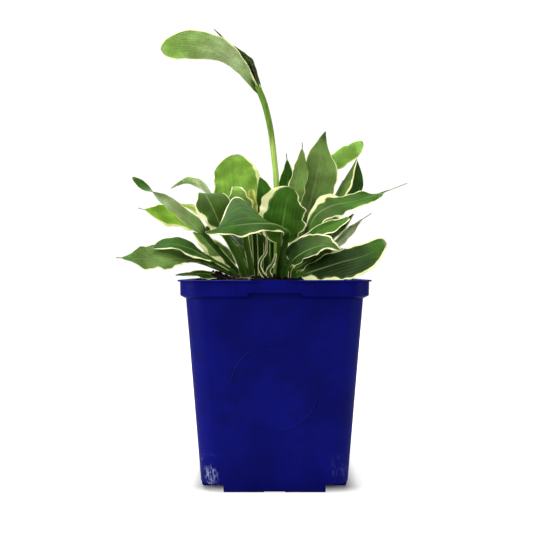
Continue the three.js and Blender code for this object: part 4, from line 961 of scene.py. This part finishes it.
def make_stem():
    """The flower stem: a round stalk swept along its route, joined with its two bracts."""
    route = Route(STEM_ROUTE)
    deselect()
    bpy.ops.mesh.primitive_cylinder_add(vertices=STEM_SIDES, radius=STEM_RADIUS * MM, depth=2)
    stalk = bpy.context.object
    bpy.ops.object.mode_set(mode="EDIT")
    bm = bmesh.from_edit_mesh(stalk.data)
    long_edges = [e for e in bm.edges if abs(e.verts[0].co.z - e.verts[1].co.z) > 1]
    bmesh.ops.subdivide_edges(bm, edges=long_edges, cuts=STEM_STEPS, use_grid_fill=True)
    bmesh.update_edit_mesh(stalk.data)
    bpy.ops.object.mode_set(mode="OBJECT")
    for vertex in stalk.data.vertices:
        share = (vertex.co.z + 1) / 2
        turn = Vector((0, 0, 1)).rotation_difference(Vector(route.heading(share)))
        flat = Vector((vertex.co.x, vertex.co.y, 0)) * (1 + STEM_SWELL * share ** 3)
        vertex.co = Vector(route.at(share)) * MM + turn @ flat
    stalk.data.materials.append(FLOWER_STALK)
    smooth(stalk, LEAF_SMOOTH)
    return joined([stalk] + [make_leaf(bract, FIRST_BRACT + i) for i, bract in enumerate(BRACTS)])


def body_half(z):
    """Half the side of the pot's tapered body at a height."""
    return (BODY_BASE_SIDE + (BODY_TOP_SIDE - BODY_BASE_SIDE) * z / BODY_TOP_Z) / 2


def square_ring(half, radius, z):
    """A level square with round corners, as points sorted round the middle."""
    points = []
    for corner in range(4):
        sign_x = 1 if corner in (0, 3) else -1
        sign_y = 1 if corner < 2 else -1
        for step in range(CORNER_STEPS + 1):
            angle = corner * math.pi / 2 + step / CORNER_STEPS * math.pi / 2
            points.append(Vector((sign_x * (half - radius) + radius * math.cos(angle),
                                  sign_y * (half - radius) + radius * math.sin(angle), z)))
    return sorted(points, key=lambda p: math.atan2(p.y, p.x))


def extruded_shell(rings):
    """A closed body, from a flat face that is extruded from ring to ring."""
    deselect()
    bpy.ops.mesh.primitive_circle_add(vertices=len(rings[0]), radius=1, fill_type="NGON",
                                      rotation=(0, 0, RING_START))
    bpy.ops.object.transform_apply()
    shell = bpy.context.object
    bpy.ops.object.mode_set(mode="EDIT")
    bpy.ops.mesh.select_all(action="SELECT")
    for number, ring in enumerate(rings):
        if number:
            bpy.ops.mesh.extrude_region()
        bm = bmesh.from_edit_mesh(shell.data)
        chosen = sorted([v for v in bm.verts if v.select], key=lambda v: math.atan2(v.co.y, v.co.x))
        for vertex, point in zip(chosen, ring, strict=True):
            vertex.co = point * MM
        bmesh.update_edit_mesh(shell.data)
    bpy.ops.mesh.select_all(action="SELECT")
    bpy.ops.mesh.normals_make_consistent(inside=False)
    bpy.ops.object.mode_set(mode="OBJECT")
    return shell


def block(size, place):
    """A box of the given size and middle, in millimetres."""
    deselect()
    bpy.ops.mesh.primitive_cube_add(size=1, location=[v * MM for v in place])
    bpy.context.object.scale = [v * MM for v in size]
    bpy.ops.object.transform_apply()
    return bpy.context.object


def cylinder(sides, radius, length, place, tilt=0):
    """A round bar with its middle at a place, upright or tilted about x, in millimetres."""
    deselect()
    bpy.ops.mesh.primitive_cylinder_add(vertices=sides, radius=radius * MM, depth=length * MM,
                                        location=[v * MM for v in place], rotation=(tilt, 0, 0))
    bpy.ops.object.transform_apply()
    return bpy.context.object


def on_each_side(piece):
    """A piece and its three copies, turned about the pot's axis to its other sides."""
    copies = [piece]
    for quarter in range(1, 4):
        copy = piece.copy()
        copy.data = piece.data.copy()
        copy.data.transform(Matrix.Rotation(quarter * math.pi / 2, 4, "Z"))
        bpy.context.collection.objects.link(copy)
        copies.append(copy)
    return copies


def cut(piece, cutter, operation="DIFFERENCE"):
    """Takes the cutter's form out of a piece, or adds it, and removes the cutter."""
    apply_modifier(piece, "BOOLEAN", object=cutter, operation=operation, solver="EXACT")
    bpy.data.objects.remove(cutter)


def recess_cutter():
    """The recess in the band's lower edge: a flat block with its two upper ends cut off at a slope."""
    top = BAND_BOTTOM_Z + BAND_RECESS_HEIGHT
    piece = block((BAND_RECESS_LENGTH, CUTTER_DEPTH, top - BODY_TOP_Z),
                  (0, -BODY_TOP_SIDE / 2 - RECESS_BACK - CUTTER_DEPTH / 2, (top + BODY_TOP_Z) / 2))
    bpy.ops.object.mode_set(mode="EDIT")
    bpy.ops.mesh.select_all(action="DESELECT")
    bm = bmesh.from_edit_mesh(piece.data)
    for edge in bm.edges:
        first, second = edge.verts
        at_top = min(first.co.z, second.co.z) > (top - NEARLY_LEVEL) * MM
        edge.select_set(at_top and abs(first.co.x - second.co.x) < NEARLY_LEVEL * MM)
    bmesh.update_edit_mesh(piece.data)
    bpy.ops.mesh.bevel(offset=RECESS_SLOPE * MM, segments=1)
    bpy.ops.object.mode_set(mode="OBJECT")
    return piece


def make_pot():
    """The pot: one moulded shell with its band, lip, feet, recesses, drain holes and a plain raised ring."""
    inner = CORNER_RADIUS - WALL
    band, lip = BAND_SIDE / 2, LIP_SIDE / 2
    rounding = BASE_ROUNDING_HEIGHT / 3
    pot = extruded_shell([square_ring(*ring) for ring in (
        (body_half(FLOOR_TOP_Z) - WALL, inner, FLOOR_TOP_Z),
        (body_half(INNER_STEP_Z) - WALL, inner, INNER_STEP_Z),
        (band - WALL, inner, INNER_STEP_TOP_Z),
        (band - WALL, inner, POT_HEIGHT - LIP_ROUNDING / 2),
        (band - WALL + LIP_ROUNDING / 2, inner, POT_HEIGHT),
        (lip - LIP_ROUNDING, CORNER_RADIUS, POT_HEIGHT),
        (lip, CORNER_RADIUS, POT_HEIGHT - LIP_ROUNDING),
        (lip, CORNER_RADIUS, LIP_BOTTOM_Z + LIP_UNDERCUT),
        (band + BAND_FLARE, CORNER_RADIUS, LIP_BOTTOM_Z),
        (band, CORNER_RADIUS, BAND_BOTTOM_Z + BAND_EDGE_HEIGHT),
        (band - BAND_EDGE_INSET, CORNER_RADIUS, BAND_BOTTOM_Z),
        (body_half(BODY_TOP_Z), CORNER_RADIUS, BODY_TOP_Z),
        (body_half(BASE_ROUNDING_HEIGHT), CORNER_RADIUS, BASE_ROUNDING_HEIGHT),
        (body_half(rounding) - BASE_ROUNDING / 3, CORNER_RADIUS, rounding),
        (body_half(0) - BASE_ROUNDING, CORNER_RADIUS, 0),
        (body_half(0) - BASE_ROUNDING - WALL, inner, 0),
        (body_half(FLOOR_BOTTOM_Z) - WALL, inner, FLOOR_BOTTOM_Z),
    )])

    foot_face = body_half(0) - BASE_ROUNDING - FOOT_INSET
    rib_height = FLOOR_BOTTOM_Z + RIB_OVERLAP
    ribs = []
    for side in (-1, 1):
        place = (side * (FOOT_LENGTH - WALL) / 2, foot_face - FOOT_RETURN / 2, rib_height / 2)
        ribs += on_each_side(block((WALL, FOOT_RETURN, rib_height), place))
    cut(pot, joined(ribs), "UNION")

    corner_place = (FOOT_LENGTH + CORNER_CUTTER) / 2
    cutters = on_each_side(block((CORNER_CUTTER, CORNER_CUTTER, 2 * FLOOR_BOTTOM_Z),
                                 (corner_place, corner_place, 0)))
    cutters += on_each_side(block((FOOT_RELIEF_LENGTH, CUTTER_DEPTH, 2 * FOOT_RELIEF_HEIGHT),
                                  (0, foot_face, 0)))
    cutters += on_each_side(recess_cutter())
    cut(pot, joined(cutters))

    holes = [(0, 0)] + [(a * DRAIN_HOLE_PLACE, b * DRAIN_HOLE_PLACE) for a in (-1, 1) for b in (-1, 1)]
    cutters = [cylinder(DRAIN_HOLE_SIDES, DRAIN_HOLE_RADIUS, FLOOR_TOP_Z, (x, y, FLOOR_TOP_Z))
               for x, y in holes]
    dip_radius = ((LIP_DIP_LENGTH / 2) ** 2 + LIP_DIP_DEPTH ** 2) / (2 * LIP_DIP_DEPTH)
    for side in (-1, 1):
        place = (0, side * (band + DIP_CUTTER_WIDTH / 2 - DIP_INSET), POT_HEIGHT - LIP_DIP_DEPTH + dip_radius)
        cutters.append(cylinder(DIP_SIDES, dip_radius, DIP_CUTTER_WIDTH, place, math.pi / 2))
    cut(pot, joined(cutters))

    # The ring is a low bead that lies on the front face, which leans out
    lean = math.atan2((BODY_TOP_SIDE - BODY_BASE_SIDE) / 2, BODY_TOP_Z)
    deselect()
    bpy.ops.mesh.primitive_torus_add(major_segments=RING_SIDES, minor_segments=RING_BEAD_SIDES,
                                     minor_radius=RING_WIDTH / 2 * MM,
                                     major_radius=(RING_RADIUS - RING_WIDTH / 2) * MM)
    ring = bpy.context.object
    ring.scale.z = 2 * RING_HEIGHT / RING_WIDTH
    bpy.ops.object.transform_apply()
    ring.rotation_euler.x = math.pi / 2 + lean
    ring.location = (0, -body_half(RING_Z) * MM, RING_Z * MM)
    bpy.ops.object.transform_apply()
    cut(pot, ring, "UNION")

    apply_modifier(pot, "BEVEL", width=EDGE_BEVEL * MM, segments=2, limit_method="ANGLE",
                   angle_limit=math.radians(BEVEL_ANGLE))
    pot.data.materials.clear()
    pot.data.materials.append(POT_PLASTIC)
    smooth(pot, POT_SMOOTH)
    return pot


def soil_height(x, y):
    """The solid's soil surface: a low mound, one loose heap and small lumps, all in millimetres."""
    mound = SOIL_MOUND * max(0, 1 - ((x - CROWN_X) ** 2 + y ** 2) / SOIL_MOUND_RADIUS ** 2)
    heap_x, heap_y, heap_radius, heap_height = SOIL_HEAP
    heap = heap_height * math.exp(-((x - heap_x) ** 2 + (y - heap_y) ** 2) / heap_radius ** 2)
    height, turns_x, turns_y, start = SOIL_LUMPS
    lumps = height * math.sin(turns_x * x + start) * math.cos(turns_y * y)
    height, turns_x, turns_y = SOIL_RIPPLES
    lumps += height * math.sin(turns_x * x + turns_y * y)
    return max(SOIL_EDGE_Z + mound + heap + lumps, INNER_STEP_TOP_Z + SOIL_GAP)


def crumbly_height(x, y):
    """The soil surface with coarse and fine crumbling heaped on it."""
    z = soil_height(x, y)
    for height, width, layer in CRUMBLING:
        z += height * abs(noise.noise(Vector((x / width, y / width, layer))))
    return z


def round_square_reach(direction_x, direction_y, half, radius):
    """Distance from the middle of a round-cornered square to its edge, in one direction."""
    a, b = abs(direction_x), abs(direction_y)
    reach = half / max(a, b)
    straight = half - radius
    if min(a, b) * reach <= straight:
        return reach
    spread = straight * (a + b)
    return spread + math.sqrt(max(0.0, spread ** 2 - 2 * straight ** 2 + radius ** 2))


def make_soil():
    """The soil: a crumbly surface from a fine grid, with its sides taken down inside the pot to the floor."""
    half = BAND_SIDE / 2 - WALL - SOIL_GAP
    radius = CORNER_RADIUS - WALL - SOIL_GAP
    deselect()
    bpy.ops.mesh.primitive_grid_add(x_subdivisions=SOIL_CELLS, y_subdivisions=SOIL_CELLS, size=2)
    soil = bpy.context.object
    for vertex in soil.data.vertices:
        a, b = vertex.co.x, vertex.co.y
        length = math.hypot(a, b)
        x = y = 0.0
        if length > 0:
            reach = round_square_reach(a / length, b / length, half, radius) * max(abs(a), abs(b))
            x, y = a / length * reach, b / length * reach
        vertex.co = Vector((x, y, crumbly_height(x, y))) * MM
    bpy.ops.object.mode_set(mode="EDIT")
    bpy.ops.mesh.select_all(action="DESELECT")
    bm = bmesh.from_edit_mesh(soil.data)
    bpy.context.tool_settings.mesh_select_mode = (False, True, False)
    for edge in bm.edges:
        edge.select_set(edge.is_boundary)
    bmesh.update_edit_mesh(soil.data)
    for side_half, z in (
        (half, INNER_STEP_TOP_Z + SOIL_GAP / 2),
        (body_half(INNER_STEP_Z) - WALL - SOIL_GAP, INNER_STEP_Z + SOIL_GAP / 2),
        (body_half(FLOOR_TOP_Z) - WALL - SOIL_GAP, FLOOR_TOP_Z + SOIL_GAP),
    ):
        bpy.ops.mesh.extrude_edges_move()
        bm = bmesh.from_edit_mesh(soil.data)
        for vertex in [v for v in bm.verts if v.select]:
            length = math.hypot(vertex.co.x, vertex.co.y)
            a, b = vertex.co.x / length, vertex.co.y / length
            reach = round_square_reach(a, b, side_half, radius)
            vertex.co = Vector((a * reach, b * reach, z)) * MM
        bmesh.update_edit_mesh(soil.data)
    bpy.ops.mesh.edge_face_add()
    bpy.ops.mesh.select_all(action="SELECT")
    bpy.ops.mesh.normals_make_consistent(inside=False)
    bpy.context.tool_settings.mesh_select_mode = (True, False, False)
    bpy.ops.object.mode_set(mode="OBJECT")
    soil.data.materials.append(POTTING_MIX)
    smooth(soil, SOIL_SMOOTH)
    return soil


def make_crumbs():
    """Loose crumbs and bits of bark: four shapes modelled once, and copied over the soil by a seeded draw."""
    draw = random.Random(CRUMB_SEED)
    shapes = []
    for number, subdivisions in enumerate(CRUMB_SUBDIVISIONS):
        deselect()
        bpy.ops.mesh.primitive_ico_sphere_add(subdivisions=subdivisions, radius=1)
        shape = bpy.context.object
        layer = Vector((0, 0, CRUMB_DENT_LAYER * number))
        for vertex in shape.data.vertices:
            vertex.co *= 1 + CRUMB_DENT * noise.noise(vertex.co * CRUMB_DENT_FINENESS + layer)
        shapes.append(shape)
    together = bmesh.new()
    bark_faces = set()
    half = BAND_SIDE / 2 - WALL - CRUMB_FROM_WALL
    for number in range(CRUMBS):
        if number % HEAP_EVERY == 0:
            x, y = [draw.gauss(middle + shift, spread)
                    for middle, shift, spread in zip(SOIL_HEAP, HEAP_CRUMB_SHIFT, HEAP_CRUMB_SPREAD)]
        else:
            x, y = draw.uniform(-half, half), draw.uniform(-half, half)
        if max(abs(x), abs(y)) > half or math.hypot(x, y) > half * CRUMB_REACH:
            continue
        size = draw.choice(CRUMB_SIZES)
        turn = Matrix.Rotation(draw.uniform(0, FULL_TURN), 4, "Z")
        turn = turn @ Matrix.Rotation(draw.uniform(0, HALF_TURN), 4, "X")
        stretch = Matrix.Diagonal((1, draw.uniform(*CRUMB_BREADTH), draw.uniform(*CRUMB_THICKNESS), 1))
        middle = Vector((x, y, crumbly_height(x, y) + CRUMB_RISE * size)) * MM
        before = len(together.faces)
        copy = shapes[number % len(shapes)].data.copy()
        copy.transform(Matrix.Translation(middle) @ turn @ stretch @ Matrix.Scale(size * MM, 4))
        together.from_mesh(copy)
        bpy.data.meshes.remove(copy)
        if number % BARK_EVERY == 0:
            bark_faces.update(range(before, len(together.faces)))
    together.faces.ensure_lookup_table()
    for index in bark_faces:
        together.faces[index].material_index = 1
    crumbs = shapes[0]
    for shape in shapes[1:]:
        bpy.data.objects.remove(shape)
    together.to_mesh(crumbs.data)
    together.free()
    crumbs.data.materials.append(POTTING_MIX)
    crumbs.data.materials.append(BARK)
    smooth(crumbs, CRUMB_SMOOTH)
    return crumbs


def make_fibres():
    """Dry roots and straw: thin bent fibres that lie about the feet of the stalks."""
    draw = random.Random(FIBRE_SEED)
    deselect()
    bpy.ops.curve.primitive_bezier_curve_add()
    fibres = bpy.context.object
    curve = fibres.data
    curve.splines.clear()
    curve.dimensions = "3D"
    curve.bevel_depth = FIBRE_RADIUS * MM
    curve.bevel_resolution = 1
    curve.resolution_u = 4
    for _ in range(FIBRES):
        x, y = [draw.gauss(middle, spread) for middle, spread in zip(FIBRE_MIDDLE, FIBRE_SPREAD)]
        heading = draw.uniform(0, 2 * math.pi)
        spline = curve.splines.new("BEZIER")
        spline.bezier_points.add(FIBRE_BENDS)
        for point in spline.bezier_points:
            point.co = Vector((x, y, crumbly_height(x, y) + draw.uniform(*FIBRE_RISE))) * MM
            point.handle_left_type = "AUTO"
            point.handle_right_type = "AUTO"
            heading += draw.uniform(-FIBRE_BEND, FIBRE_BEND)
            step = draw.uniform(*FIBRE_STEP)
            x += step * math.cos(heading)
            y += step * math.sin(heading)
    bpy.ops.object.convert(target="MESH")
    fibres = bpy.context.object
    fibres.data.materials.append(STRAW)
    smooth(fibres, SOIL_SMOOTH)
    return fibres


def make_floor():
    """The studio floor, which isn't part of the object."""
    deselect()
    bpy.ops.mesh.primitive_plane_add(size=FLOOR_SIDE)
    floor = bpy.context.object
    floor.name = "studio_floor"
    floor.data.materials.append(floor_finish())


def make_studio():
    """White surroundings, seen brighter than they light, and soft lights that point at the plant."""
    world = bpy.data.worlds.new("studio")
    world.use_nodes = True
    tree = world.node_tree
    tree.nodes.clear()
    seen = add(tree, kind="ShaderNodeLightPath").outputs["Is Camera Ray"]
    strength = add(tree, (seen, SURROUND_SEEN - SURROUND_LIGHT, SURROUND_LIGHT), **TIMES_PLUS)
    background = add(tree, {"Color": (1, 1, 1, 1), "Strength": strength}, kind="ShaderNodeBackground")
    add(tree, [background], kind="ShaderNodeOutputWorld")
    bpy.context.scene.world = world
    for name, place, size, power in SOFTBOXES:
        lamp = bpy.data.lights.new(name, "AREA")
        lamp.size = size
        lamp.energy = power
        holder = bpy.data.objects.new(name, lamp)
        holder.location = place
        holder.rotation_euler = (Vector(SOFTBOX_AIM) - Vector(place)).to_track_quat("-Z", "Y").to_euler()
        bpy.context.scene.collection.objects.link(holder)
    bpy.context.scene.view_settings.view_transform = "Standard"


def make_camera():
    """The photograph's camera: level with the rim, turned up so that the horizon falls on its row."""
    data = bpy.data.cameras.new("photo_camera")
    data.sensor_width = SENSOR_MM
    data.lens = FOCAL_PIXELS / IMAGE_SIDE * SENSOR_MM
    data.clip_start = NEAREST_SEEN * MM
    holder = bpy.data.objects.new("photo_camera", data)
    holder.location = [v * MM for v in CAMERA_PLACE]
    tilt = math.atan2(HORIZON_ROW - IMAGE_SIDE / 2, FOCAL_PIXELS)
    holder.rotation_euler = (math.pi / 2 + tilt, 0, 0)
    bpy.context.scene.collection.objects.link(holder)
    bpy.context.scene.camera = holder


make_camera()
make_floor()
make_studio()

LEAF_UPPER = leaf_finish("hosta_leaf_waxy_upper_side", green="upper_green", cream="#e6eab0", rib="#a4bd78",
                         rib_share=0.4, rough=0.5, bump=0.4)
LEAF_UNDER = leaf_finish("hosta_leaf_matt_underside", green="under_green", cream="#e9eaa6", rib="#a9bd84",
                         rib_share=0.45, rough=0.6, bump=0.45)
FLOWER_STALK = stem_finish()
POT_PLASTIC = pot_finish()
POTTING_MIX = soil_finish("potting_mix_damp_peat", "#080605", "#120c09", "#2a1f17")
BARK = soil_finish("bark_chips_composted", "#130d09", "#2b1d14", "#5a432e")
STRAW = fibre_finish()

dress(make_pot(), "moulded_pot", "pot", "pot")
dress(make_soil(), "soil_bed", "soil", "soil")
dress(make_crumbs(), "soil_crumbs", "soil")
dress(make_fibres(), "soil_fibres", "soil")
dress(make_stem(), "flower_stem_with_bracts", "flower_stem", "flower_stem")
for curled_number, curled_leaf in enumerate(CURLED_LEAVES):
    dress(make_leaf(curled_leaf, FIRST_CURLED + curled_number), curled_leaf["name"], "leaf")
for leaf_number, solid_leaf in enumerate(LEAVES):
    dress(make_leaf(solid_leaf, leaf_number), solid_leaf["name"] + "_blade", "leaf", solid_leaf["name"])
